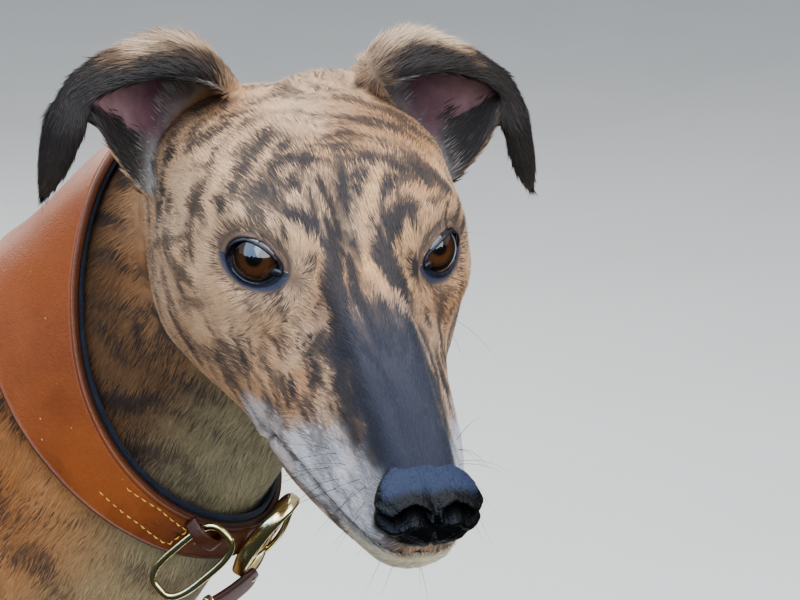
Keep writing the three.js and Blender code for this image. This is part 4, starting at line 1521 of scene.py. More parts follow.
@dataclass(frozen=True)
class SkinFinish:
    """The skin with its flat fur: the markings, streaked along the lie of the coat, and bare places."""

    streak: float = 0.0003

    def material(self) -> Material:
        """Makes the material.

        Returns:
            The finished material.
        """
        shader = Shader("coat_skin")
        markings = shader.attribute("Markings", "Color")
        lie = shader.attribute("Lie", "Vector")
        bare = shader.number("Bare")
        long = shader.node("Mapping", {}, {"Vector": lie, "Scale": (230.0, 1900.0, 60.0)}).socket()
        strand = shader.noise(long, 1.0, 4.0, 0.65)
        pores = shader.cells(shader.places(), 900.0)
        folds = shader.noise(shader.places(), 260.0, 4.0)
        furry = 1.0 - bare
        colour = shader.shaded(markings, (0.72 + strand * 0.56) * furry + (0.8 + folds * 0.4) * bare)
        shader.set(Base_Color=colour, Roughness=furry * 0.2 + 0.48 + folds * 0.08, Specular_IOR_Level=0.22)
        shader.set(Subsurface_Weight=0.06, Subsurface_Radius=(0.004, 0.002, 0.001))
        shader.bump(strand * furry * 0.8 + (folds * 0.7 - pores * 0.3) * bare * 0.7, self.streak)
        return shader.material


@dataclass(frozen=True)
class TuftFinish:
    """The tufts of the coat: each with its own tint of the markings and a soft gloss."""

    def material(self) -> Material:
        """Makes the material.

        Returns:
            The finished material.
        """
        shader = Shader("coat_tufts")
        grain = shader.noise(shader.places(), 420.0, 2.0)
        colour = shader.shaded(shader.attribute("Markings", "Color"), 0.84 + grain * 0.32)
        shader.set(Base_Color=colour, Roughness=0.46 + grain * 0.2, Specular_IOR_Level=0.22)
        shader.set(Sheen_Weight=0.05, Sheen_Roughness=0.5)
        return shader.material


@dataclass(frozen=True)
class EyeFinish:
    """The eye: a nearly black pupil in a brown iris with fine rays, painted brighter below and darker above as
    painted light and shade, a black border and a dull white.
    """

    pupil: float = 3.1
    iris: float = 7.3
    border: float = 8.4

    def material(self) -> Material:
        """Makes the material, which reads how far across the eye a point lies, in millimetres.

        Returns:
            The finished material.
        """
        shader = Shader("eye")
        across = shader.attribute("Across", "Vector")
        reach = shader.node("VectorMath", {"operation": "LENGTH"}, {0: across}).value("Value")
        bearing = shader.node("VectorMath", {"operation": "NORMALIZE"}, {0: across}).socket()
        spokes = shader.node("Mapping", {}, {"Vector": bearing, "Scale": (9.0, 9.0, 9.0)}).socket()
        rays = shader.noise(spokes, 1.4, 5.0, 0.7)
        flecks = shader.noise(across, 0.9, 3.0)
        parts = shader.node("SeparateXYZ", {}, {0: across})
        # The iris is painted brighter towards its bottom and darker towards its top: painted light below, painted
        # shade of the upper lid above.
        low = (parts.value("Y") * -0.09 + 0.45).clamped()
        brown = shader.mix((rays * 0.75 + flecks * 0.35 - 0.05).clamped(), tone(46, 25, 14), tone(98, 60, 34))
        painted_lit_iris = shader.shaded(brown, low * 0.95 + 0.25)
        ringed = shader.mix(reach.step(self.iris - 2.2, self.iris - 0.2) * 0.6, painted_lit_iris, tone(30, 12, 8))
        inside = shader.mix(reach.step(self.pupil - 0.7, self.pupil + 0.9), tone(10, 6, 5), ringed)
        edged = shader.mix(reach.step(self.iris - 0.3, self.iris + 0.45), inside, tone(7, 5, 6))
        white = shader.mix(flecks.step(0.4, 0.75), tone(74, 58, 52), tone(50, 32, 28))
        colour = shader.mix(reach.step(self.border, self.border + 1.6), edged, white)
        shader.set(Base_Color=colour, Roughness=0.3, IOR=1.4, Specular_IOR_Level=0.1)
        shader.set(Coat_Weight=1.0, Coat_IOR=1.85, Coat_Roughness=0.02)
        return shader.material


@dataclass(frozen=True)
class PlainFinish:
    """One cloudy colour between two tones, whose noise also makes it duller and, where asked, uneven."""

    name: str
    dark: Triple
    light: Triple
    cells: float
    detail: float
    rough: float
    gain: float
    step: tuple[float, float] | None = None
    scale: Triple = (1.0, 1.0, 1.0)
    height: tuple[float, float] | None = None

    def material(self) -> Material:
        """Makes the material.

        Returns:
            The finished material.
        """
        shader = Shader(self.name)
        cloud = shader.noise(shader.places(self.scale), self.cells, self.detail)
        share = cloud.step(*self.step) if self.step else cloud
        shader.set(Base_Color=shader.mix(share, tone(*self.dark), tone(*self.light)),
                   Roughness=cloud * self.gain + self.rough)
        if self.height:
            shader.bump(cloud, *self.height)
        return shader.material


WET_SKIN = PlainFinish("wet_skin", (20, 19, 24), (52, 52, 62), 700.0, 4.0, 0.28, 0.2, (0.35, 0.75),
                       height=(0.0004, 0.6))
GOLD_THREAD = PlainFinish("stitch_thread", (170, 122, 48), (226, 184, 96), 900.0, 2.0, 0.5, 0.15, (0.35, 0.65),
                          (1.0, 2.0, 3.0), (0.0002, 1.0))
STIFF_HAIR = PlainFinish("whisker", (14, 12, 12), (52, 44, 40), 120.0, 2.0, 0.35, 0.1, (0.3, 0.8))
DARK_CLOTH = PlainFinish("flag_cloth", (18, 22, 16), (44, 50, 36), 14.0, 3.0, 0.85, 0.1)
PALE_FLOOR = PlainFinish("studio_floor", (206, 206, 204), (214, 214, 212), 3.0, 3.0, 0.75, 0.1)


@dataclass(frozen=True)
class NoseFinish:
    """The nose: black pebbled leather, with a painted blue-grey sky reflection on top and painted shade inside the
    nostrils.
    """

    def material(self) -> Material:
        """Makes the material.

        Returns:
            The finished material.
        """
        shader = Shader("nose_leather")
        pebbles = shader.cells(shader.places(), 1150.0)
        seams = shader.cells(shader.places(), 640.0)
        cloud = shader.noise(shader.places(), 180.0, 3.0)
        top = shader.number("Top")
        hole = shader.number("Hole")
        leather = shader.mix(cloud.step(0.3, 0.7), tone(9, 9, 11), tone(17, 16, 19))
        # A painted blue-grey sky reflection on the top, and painted shade inside the nostrils.
        painted_sky_sheen = shader.mix(top, leather, tone(44, 52, 74))
        colour = shader.shaded(painted_sky_sheen, (1.0 - hole * 0.95) * (1.15 - pebbles * 0.4))
        rough = 0.36 + top * 0.14 + cloud * 0.1 + hole * 0.5
        shader.set(Base_Color=colour, Roughness=rough, Specular_IOR_Level=0.2)
        shader.bump((1.0 - pebbles) * 0.6 + (1.0 - seams) * 0.5, 0.0004)
        return shader.material


@dataclass(frozen=True)
class HornFinish:
    """Claws: dark horn with fine lengthwise lines and paler worn patches."""

    def material(self) -> Material:
        """Makes the material.

        Returns:
            The finished material.
        """
        shader = Shader("claw_horn")
        grain = shader.noise(shader.places((1.0, 0.1, 0.4)), 1500.0, 3.0)
        worn = shader.noise(shader.places(), 240.0, 2.0)
        colour = shader.mix((grain * 0.6 + worn * 0.4).step(0.35, 0.7), tone(34, 30, 28), tone(84, 74, 66))
        shader.set(Base_Color=colour, Roughness=grain * 0.25 + 0.28)
        shader.bump(grain, 0.0002)
        return shader.material


@dataclass(frozen=True)
class LeatherFinish:
    """Waxed tan leather: cloudy colour, fine grain and pores, a few pale specks, darker at its edges, and darker
    under the throat, partly darker leather and partly painted shadow.
    """

    name: str
    colour: Triple = (142, 76, 30)
    deep: Triple = (108, 52, 16)
    rosy: Triple = (150, 86, 52)
    rough: float = 0.34

    def material(self) -> Material:
        """Makes the material.

        Returns:
            The finished material.
        """
        shader = Shader(self.name)
        places = shader.places()
        cloud = shader.noise(places, 22.0, 4.0, 0.6)
        grain = shader.cells(places, 1300.0)
        wrinkle = shader.noise(places, 420.0, 5.0, 0.65)
        specks = shader.cells(places, 120.0)
        edge = shader.number("Edge")
        height = shader.node("SeparateXYZ", {}, {0: places}).value("Z")
        base = shader.mix(cloud.step(0.32, 0.68), tone(*self.deep), tone(*self.colour))
        upper = shader.mix(height.step(0.66, 0.8) * 0.75, base, tone(*self.rosy))
        # Under the throat the leather is painted darker: partly darker leather, partly painted shadow.
        throat = shader.mix(shader.number("Dark") * 0.85, upper, tone(60, 30, 14))
        dull = shader.mix((1.0 - specks.step(0.03, 0.07)) * 0.5, throat, tone(220, 190, 150))
        colour = shader.shaded(dull, (1.0 - edge * 0.62) * (0.9 + wrinkle * 0.2))
        rough = wrinkle * 0.24 + self.rough - 0.06 + edge * 0.14
        shader.set(Base_Color=colour, Roughness=rough, Specular_IOR_Level=0.36)
        shader.set(Coat_Weight=0.12, Coat_Roughness=0.3)
        shader.bump(wrinkle * 0.5 + grain * 0.25 + cloud * 0.8, 0.0005, 0.8)
        return shader.material


@dataclass(frozen=True)
class LiningFinish:
    """The collar's soft navy-black lining, with a short nap."""

    def material(self) -> Material:
        """Makes the material.

        Returns:
            The finished material.
        """
        shader = Shader("collar_lining")
        nap = shader.noise(shader.places(), 1900.0, 3.0)
        cloud = shader.noise(shader.places(), 120.0, 2.0)
        colour = shader.mix((nap * 0.7 + cloud * 0.3).step(0.3, 0.7), tone(17, 18, 26), tone(40, 43, 60))
        shader.set(Base_Color=colour, Roughness=0.7 + nap * 0.15, Specular_IOR_Level=0.25)
        shader.set(Sheen_Weight=0.12)
        shader.bump(nap, 0.0003)
        return shader.material


@dataclass(frozen=True)
class BrassFinish:
    """Polished pale brass with hairline scratches and a little tarnish."""

    def material(self) -> Material:
        """Makes the material.

        Returns:
            The finished material.
        """
        shader = Shader("polished_brass")
        scratch = shader.noise(shader.places((1.0, 1.0, 12.0)), 500.0, 4.0, 0.7)
        cloud = shader.noise(shader.places(), 90.0, 3.0)
        share = (cloud * 0.6 + scratch * 0.4).step(0.35, 0.7)
        colour = shader.mix(share, tone(250, 236, 198), tone(230, 204, 144))
        shader.set(Base_Color=colour, Metallic=1.0, Roughness=scratch * 0.12 + 0.08 + cloud * 0.05)
        shader.bump(scratch, 0.00005, 0.5)
        return shader.material


def piece(name: str, surface: Surface, material: Material, replaces: tuple[str, ...] = (),
          values: dict[str, Array] | None = None) -> bpy.types.Object:
    """A finished object at the frame's origin, riding the one body.

    Args:
        name: the object's name.
        surface: its mesh, in the part's millimetres.
        material: its finish.
        replaces: the solids it stands for.
        values: attributes at the points, one number or three numbers each.

    Returns:
        The object.
    """
    mesh = plain_mesh(name, (surface.points + OFFSET) * METRE, surface.faces)
    mesh.polygons.foreach_set("use_smooth", np.ones(len(surface.faces), bool))
    for key, value in (values or {}).items():
        kind, part = ("FLOAT", "value") if value.ndim == 1 else ("FLOAT_VECTOR", "vector")
        if key == "Markings":
            kind, part = "FLOAT_COLOR", "color"
            value = np.concatenate([value, np.ones((len(value), 1))], 1)
        mesh.attributes.new(key, kind, "POINT").data.foreach_set(part, value.astype(np.float32).ravel())
    mesh.materials.append(material)
    thing = placed(name, mesh)
    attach(thing, "root")
    if replaces:
        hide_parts(*replaces)
    log.info("%s: %d triangles", name, len(surface.faces))
    return thing


@dataclass(frozen=True)
class Eye:
    """One eyeball with its clear front, turned to where it looks, and the wet edge of its lids."""

    side: Side
    radius: float = EYE_RADIUS
    bulge: float = 0.75
    edge_wide: float = 0.6
    edge_high: float = 0.5

    def gaze(self) -> Array:
        """Where the eye looks, in the head's axes."""
        return unit(np.array([0.853, 0.118, 0.508] if self.side is Side.LEFT else [0.784, -0.493, 0.378]))

    def ball(self) -> tuple[Surface, Array]:
        """The eyeball: radius plus bulge exp(-(a / 0.5)^2) at the angle a from the gaze.

        Returns:
            The surface, and each point's place across the eye: to the right, up and nothing.
        """
        gaze = self.gaze()
        right = unit(np.cross(gaze, [0.0, 0.0, 1.0]))
        up = np.cross(right, gaze)
        angle = np.linspace(0.02, math.pi - 0.02, 64)[:, None]
        round_it = turns(96)[None]
        x, y = np.sin(angle) * np.cos(round_it), np.sin(angle) * np.sin(round_it)
        reach = self.radius + self.bulge * np.exp(-(angle / 0.5) ** 2)
        z = np.cos(angle) * np.ones_like(round_it)
        rings = reach[..., None] * (x[..., None] * right + y[..., None] * up + z[..., None] * gaze)
        surface = closed_loft(HEAD_FRAME.out(rings + LIDS[self.side].centre()))
        local = HEAD_FRAME.into(surface.points) - LIDS[self.side].centre()
        across = np.stack([local @ right, local @ up, np.zeros(len(local))], 1)
        back = (local @ gaze) < 0.0
        across[back] = unit(across[back]) * self.radius
        return surface, across

    def edge(self) -> Surface:
        """The lids' wet edge: an oval profile carried round the opening, wider below.

        Returns:
            The closed ring.
        """
        lids = LIDS[self.side]
        angles = turns(120)
        path = lids.rim(angles, 0.2, EYE_RADIUS + 0.5)
        lower = ease(0.1, -0.6, np.sin(angles))[:, None, None]
        profile = circle(12, self.edge_wide, self.edge_high)[None] * (1.0 + 0.3 * lower)
        tube = swept(path, profile, unit(path), True)
        return Surface(HEAD_FRAME.out(lids.out(tube.points)), tube.faces).turned_out()

    def corner(self) -> Surface:
        """The small dark wet body at the inner corner."""
        lids = LIDS[self.side]
        at = lids.rim(np.array([math.pi]), -1.6, EYE_RADIUS + 0.2)[0]
        return closed_loft(HEAD_FRAME.out(lids.out(globe(14, 20) * (2.6, 1.7, 1.1) + at)))

    def make(self, ball: Material, wet: Material) -> None:
        """Places the eyeball, the lids' edge and the corner."""
        surface, across = self.ball()
        piece("eye_ball_" + self.side.word, surface, ball, ("eye_" + self.side.word,), {"Across": across})
        piece("lid_edge_" + self.side.word, joined([self.edge(), self.corner()]), wet)


@dataclass(frozen=True)
class NosePad:
    """The nose: a broad wedge with two comma nostrils, raised wings and a groove down its middle."""

    depth: float = 8.0
    bore: float = 1.75
    wing: float = 1.0

    def nostril(self, points: Array) -> tuple[Array, Array]:
        """Distances, across the front, to a nostril's opening and to the slit behind it.

        Args:
            points: aside without its sign, and above.

        Returns:
            Distance to the opening and to the slit.
        """
        opening = np.array([[4.4, -28.9], [7.0, -28.2], [9.8, -29.0], [12.0, -30.8]])
        slit = np.array([[12.0, -30.8], [14.6, -32.6], [17.6, -32.0]])
        return path_distance(points, opening), path_distance(points, slit)

    def surface(self) -> tuple[Surface, Array, Array]:
        """The nose's mesh.

        Returns:
            The surface, how far each point faces up, for its painted sky reflection, and its painted shade in the
            nostrils and the slits behind them, 0 to 1.
        """
        share = np.linspace(0.0, 1.0, 78)
        rows = rows_at(NOSE, 1.0 - (1.0 - share) ** 1.35)
        round_it = turns(150)[None]
        c, s = np.cos(round_it), np.sin(round_it)
        ahead, middle, wide, over, under = (column[:, None] for column in rows.T)
        aside = wide * np.sign(c) * np.abs(c) ** 0.85
        above = middle + np.where(s > 0, over, under) * np.sign(s) * np.abs(s) ** np.where(s > 0, 0.62, 0.85)
        flat = ease(108.0, 124.0, ahead)
        above = above - 1.6 * flat * np.exp(-(aside / 2.2) ** 2) * (s > 0)
        rings = np.stack([np.broadcast_to(ahead, aside.shape), aside, above], -1)
        loft = closed_loft(rings)
        points = loft.points
        mirrored = np.stack([np.abs(points[:, 1]), points[:, 2]], 1)
        opening, slit = self.nostril(mirrored)
        front = ease(112.0, 120.0, points[:, 0])
        hole = np.exp(-(opening / self.bore) ** 4) * front
        groove = np.exp(-(slit / 1.1) ** 2) * ease(106.0, 113.0, points[:, 0])
        lip = np.exp(-((np.minimum(opening, slit) - 3.1) / 1.2) ** 2) * front
        middle_line = np.exp(-(points[:, 1] / 0.9) ** 2) * ease(-27.0, -31.0, points[:, 2]) * front
        normals = Surface(points, loft.faces).normals()
        moved = points + normals * (self.wing * lip - 1.5 * middle_line - 2.0 * groove)[:, None]
        moved[:, 0] -= self.depth * hole
        moved[:, 2] += 2.6 * hole
        moved += normals * (0.22 * mottle(points / 2.2, SEED, 2))[:, None] * (1.0 - hole)[:, None]
        # Where the nose faces up it gets a painted sky reflection; the nostrils and the slits behind them get painted
        # shade.
        top = ease(0.6, 0.88, normals[:, 2]) * (1.0 - ease(116.0, 121.0, moved[:, 0])) * (1.0 - hole)
        dark = np.clip(ease(0.08, 0.5, hole) + groove * 0.7, 0.0, 1.0)
        return Surface(HEAD_FRAME.out(moved), loft.faces).turned_out(), top, dark

    def make(self, material: Material) -> None:
        """Places the nose."""
        # The nose carries its painted sky reflection and its painted nostril shade as attributes.
        surface, top, hole = self.surface()
        piece("nose_leather", surface, material, ("nose",), {"Top": top, "Hole": hole})


@dataclass(frozen=True)
class Lips:
    """The dark edge of the lips along the closed mouth, found on the skin by rays from inside the muzzle."""

    reach: float = 147.0
    wide: float = 1.25
    high: float = 0.8

    def path(self, skin: BVHTree) -> tuple[Array, Array]:
        """The line where the lips meet, in the head's axes.

        Args:
            skin: the finished skin's search tree, in the head's axes.

        Returns:
            The line's points and the outward directions.
        """
        found, outwards = [], []
        for angle in np.radians(np.linspace(-self.reach, self.reach, 141)):
            ray = np.array([math.cos(angle), math.sin(angle), 0.0])
            height = -50.5
            for _ in range(2):
                hit = skin.ray_cast(Vector((85.0, 0.0, height)), Vector(ray))[0]
                if hit is None:
                    break
                height = float(np.interp(hit.x, MOUTH[::-1, 0], MOUTH[::-1, 1]))
            if hit is not None:
                found.append(np.array(hit))
                outwards.append(ray)
        return np.array(found), np.array(outwards)

    def make(self, skin: BVHTree, material: Material) -> None:
        """Places the lips' edge.

        Args:
            skin: the skin's search tree, in the head's axes.
            material: their finish.
        """
        path, outwards = self.path(skin)
        kernel = np.array([0.25, 0.5, 0.25])
        for _ in range(4):
            middle = np.stack([np.convolve(path[:, k], kernel, "valid") for k in range(3)], 1)
            path = np.concatenate([path[:1], middle, path[-1:]])
        taper = np.sin(np.linspace(0.0, np.pi, len(path))) ** 0.3
        profile = circle(10, self.wide, self.high)[None] * np.maximum(taper, 0.25)[:, None, None]
        tube = swept(path - outwards * 0.5, profile, outwards)
        piece("lip_edge", Surface(HEAD_FRAME.out(tube.points), tube.faces).turned_out(), material)


@dataclass(frozen=True)
class Claws:
    """The four claws of each paw, curved down to blunt tips."""

    length: float = 15.0
    radius: float = 3.6
    sink: float = 5.0

    def claw(self, tip: Triple) -> Surface:
        """One claw from inside its toe: it runs ahead, falls by 0.45 L t^2 and thins by 0.8 t^1.4.

        Args:
            tip: where the toe ends.

        Returns:
            The closed claw.
        """
        t = np.linspace(0.0, 1.0, 26)[:, None]
        angle = turns(22)[None]
        size = self.radius * (1.0 - 0.8 * t ** 1.4) * np.sqrt(np.clip(1.02 - t ** 14, 0.02, 1.0))
        x = tip[0] + 0.7 * size * np.cos(angle)
        y = tip[1] + self.sink - self.length * t + 0.0 * angle
        z = tip[2] + 1.5 - 0.45 * self.length * t * t + size * np.sin(angle)
        z = np.maximum(z, 0.4)
        return closed_loft(np.stack([x, y, z], -1))

    def make(self, material: Material) -> None:
        """Places the claws, one piece to a paw.

        Args:
            material: their finish.
        """
        for side in Side:
            for heel, word in ((FORE_HEEL, "fore"), (HIND_HEEL, "hind")):
                tips = [((heel[0] + aside * 1.07) * side.value, heel[1] - reach, 10.0) for aside, reach in TOES]
                nodes = tuple(f"claw_{word}_{side.word}_{k + 1}" for k in range(4))
                piece(f"claws_{word}_{side.word}", joined([self.claw(tip) for tip in tips]), material, nodes)


@dataclass(frozen=True)
class Whiskers:
    """Stiff hairs on the muzzle, the chin, the brows and the cheeks."""

    radius: float = 0.11

    def hairs(self, roots: Array, ways: Array, lengths: Array) -> Surface:
        """Thin three-sided cones that bend down by 0.3 of their length times the square of the share along them.

        Args:
            roots: where they start, (n, 3).
            ways: their directions, (n, 3).
            lengths: millimetres, (n,).

        Returns:
            All of them as one surface.
        """
        t = np.linspace(0.0, 1.0, 9)
        side = unit(np.cross(ways, [0.0, 0.0, 1.0]))
        rise = np.cross(side, ways)
        line = roots[:, None] + ways[:, None] * (lengths[:, None] * t)[..., None]
        line = line - np.array([0.0, 0.0, 1.0]) * ((lengths * 0.3)[:, None] * t ** 2)[..., None]
        size = self.radius * (1.0 - 0.92 * t)
        angle = np.array([0.0, 2.0, 4.0]) * np.pi / 3.0
        ring = (side[:, None, None] * np.cos(angle)[:, None] + rise[:, None, None] * np.sin(angle)[:, None])
        points = line[:, :, None] + ring * size[:, None, None]
        return joined([closed_loft(hair) for hair in points])

    def make(self, skin: BVHTree, material: Material) -> None:
        """Places the whiskers.

        Args:
            skin: the skin's search tree in the head's axes.
            material: their finish.
        """
        random = np.random.default_rng(SEED + 3)
        beds = []
        for s in (-1.0, 1.0):
            for row in range(3):
                for place in np.linspace(0.0, 1.0, 5):
                    beds.append(([102 - 26 * place, s * (19 + 5 * place), -31 - 6.0 * row - 2 * place],
                                 [0.35 - 1.1 * place, s * 0.85, -0.2 - 0.22 * row], 15 + 20 * place))
            for k in range(4):
                beds.append(([106 - 9 * k, s * (5 + 2 * k), -66], [0.35 - 0.25 * k, s * 0.5, -0.9], 15))
            beds.append(([10, s * 34, 13], [0.5, s * 0.35, 0.8], 24))
            beds.append(([6, s * 37, 13], [0.3, s * 0.5, 0.8], 20))
            beds.append(([-18, s * 56, -42], [-0.15, s * 0.8, -0.6], 34))
            beds.append(([-12, s * 54, -48], [0.1, s * 0.8, -0.6], 24))
        roots, ways, lengths = [], [], []
        for at, way, length in beds:
            at = np.array(at, float) + random.normal(0.0, 1.2, 3)
            hit = skin.find_nearest(Vector(at))[0]
            roots.append(np.array(hit))
            ways.append(unit(np.array(way, float) + random.normal(0.0, 0.22, 3)))
            lengths.append(length * random.uniform(0.6, 1.35))
        roots, ways, lengths = np.array(roots), np.array(ways), np.array(lengths)
        hairs = self.hairs(roots - ways * 1.5, ways, lengths)
        piece("whiskers", Surface(HEAD_FRAME.out(hairs.points), hairs.faces), material)


@dataclass(frozen=True)
class NeckWrap:
    """Bands round the neck between the collar's two bowed edges."""

    def axes(self) -> tuple[Array, Array]:
        """The collar's axis towards the head, and its upward axis."""
        tilt = math.radians(COLLAR_TILT)
        return np.array([0, -math.cos(tilt), math.sin(tilt)]), np.array([0, math.sin(tilt), math.cos(tilt)])

    def solve(self, angles: Array, grow: float, wanted: Triple | Array) -> Array:
        """The place on the neck, by halving, where the length along the collar's axis meets an edge or a value.

        Args:
            angles: round the neck.
            grow: how far outside the neck.
            wanted: an edge's nearest point, height and rate, or lengths along.

        Returns:
            Places, one for each angle.
        """
        axis, up = self.axes()
        low, high = np.full(len(angles), 0.1), np.full(len(angles), 0.98)
        for _ in range(40):
            middle = 0.5 * (low + high)
            arm = limb_points(NECK, middle, angles, np.full(len(angles), grow)) - COLLAR_AT
            if isinstance(wanted, tuple):
                target = wanted[0] + wanted[2] * (arm @ up - wanted[1]) ** 2
            else:
                target = wanted
            over = arm @ axis > target
            high = np.where(over, middle, high)
            low = np.where(over, low, middle)
        return 0.5 * (low + high)

    def band(self, angles: Array, grow: float) -> tuple[Array, Array, Array]:
        """The places of both edges at each angle, and the width between them in millimetres.

        Args:
            angles: round the neck.
            grow: how far outside the neck.

        Returns:
            Places of the body's edge and of the head's edge, and widths.
        """
        body, head = self.solve(angles, grow, COLLAR_BODY_EDGE), self.solve(angles, grow, COLLAR_HEAD_EDGE)
        level = np.full(len(angles), grow)
        wide = np.linalg.norm(limb_points(NECK, head, angles, level) - limb_points(NECK, body, angles, level), axis=1)
        return body, head, wide

    def at(self, angles: Array, along: Array, grow: Array) -> Array:
        """Points on the neck at lengths along the collar's axis, raised by grow."""
        places = self.solve(angles, STRAP_OUTSIDE, along)
        return limb_points(NECK, places, angles, grow)

    def seat(self, degrees: float, along: float, lift: float) -> tuple[Array, Array, Array, Array]:
        """A place on the strap: the middle, then round the neck, across the strap and outwards.

        Args:
            degrees: round the neck.
            along: along the collar's axis.
            lift: how far outside the strap.

        Returns:
            A point and three unit directions.
        """
        spread = np.radians([degrees - 4.0, degrees, degrees + 4.0])
        points = self.at(spread, np.full(3, along), np.full(3, STRAP_OUTSIDE))
        above = self.at(spread, np.full(3, along + 4.0), np.full(3, STRAP_OUTSIDE))
        round_it = unit(points[2] - points[0])
        outwards = unit(np.cross(above[1] - points[1], round_it))
        if outwards @ (points[1] - self.at(spread, np.full(3, along), np.full(3, 0.0))[1]) < 0:
            outwards = -outwards
        across = unit(np.cross(outwards, round_it))
        if across @ self.axes()[0] < 0:
            across = -across
        return points[1] + outwards * lift, round_it, across, outwards


WRAP = NeckWrap()


@dataclass(frozen=True)
class Band:
    """A layer of the collar: a closed shell round the neck with rounded edges and, if asked, a pressed line."""

    inside: float
    outside: float
    head_margin: float
    body_margin: float
    pressed: bool
    columns: int = 520

    def profile(self, wide: float) -> tuple[Array, Array]:
        """Millimetres from the body edge and heights, once round the layer's section.

        Args:
            wide: the layer's width.

        Returns:
            Both numbers for each point of the section.
        """
        thick = self.outside - self.inside
        corner = np.linspace(0.0, np.pi / 2, 6)
        radius = min(1.3, thick * 0.45)
        inner = np.linspace(radius, wide - radius, 40)
        fine = wide - np.array([8.0, 5.4, 4.6, 4.0, 3.7, 3.45, 3.2, 2.95, 2.7, 2.4, 1.9])
        outer = np.sort(np.concatenate([np.linspace(radius, wide - radius, 60), fine[fine > radius]]))[::-1]
        rise, fall = radius * np.sin(corner), radius * np.cos(corner)
        across = np.concatenate([inner, wide - radius + rise, wide - radius + fall, outer, radius - rise,
                                 radius - fall])
        high = np.concatenate([np.zeros(len(inner)), radius - fall, thick - radius + rise,
                               np.full(len(outer), thick), thick - radius + fall, radius - rise])
        return across, high

    def surface(self) -> tuple[Surface, Array, Array]:
        """The layer's mesh, how near each point lies to an edge or the pressed line, and the stretch under the throat
        that is painted darker, partly darker leather and partly painted shadow.

        Returns:
            The mesh and two numbers for each point.
        """
        angles = turns(self.columns)
        middle = 0.5 * (self.inside + self.outside)
        body, head, wide = WRAP.band(angles, middle)
        span = wide - self.head_margin - self.body_margin
        across, high = self.profile(100.0)
        near = np.minimum(across, 100.0 - across)
        low = across < 50.0
        # Distances from the edges keep their millimetres; the middle stretches with the collar's width
        scale = (span[:, None] - 24.0) / 76.0
        distance = np.where(near < 12.0, near, 12.0 + (near - 12.0) * scale)
        from_body = np.where(low, distance, span[:, None] - distance) + self.body_margin
        share = from_body / wide[:, None]
        places = body[:, None] + (head - body)[:, None] * share
        level = np.broadcast_to(self.inside + high[None], places.shape).copy()
        from_head = span[:, None] + self.body_margin - from_body
        line = np.exp(-((from_head - 3.2) / 0.42) ** 2) * (high > 0.5)[None] if self.pressed else 0.0 * places
        level -= 0.42 * line
        turned = np.broadcast_to(angles[:, None], places.shape)
        rings = limb_points(NECK, places, turned, level)
        wave = mottle(rings.reshape(-1, 3) / 26.0, SEED + 9, 2).reshape(places.shape)
        rings = limb_points(NECK, places, turned, level + 0.35 * wave)
        sides = rings.shape[1]
        faces = grid_faces(self.columns + 1, sides) % (self.columns * sides)
        edge = np.maximum(1.0 - ease(0.3, 2.4, np.minimum(from_head, from_body - self.body_margin)), 0.8 * line)
        degrees = np.degrees(turned)
        # The stretch under the throat, painted darker: partly darker leather, partly painted shadow.
        dark = ease(212.0, 254.0, degrees) * (1.0 - ease(290.0, 330.0, degrees))
        return Surface(rings.reshape(-1, 3), faces).turned_out(), edge.ravel(), dark.ravel()


def rounded_bar(path: Array, outwards: Array, wide: float, high: float) -> Surface:
    """A bar of softly squared section along a closed path."""
    return swept(path, circle(14, wide, high, 0.7), outwards, True)


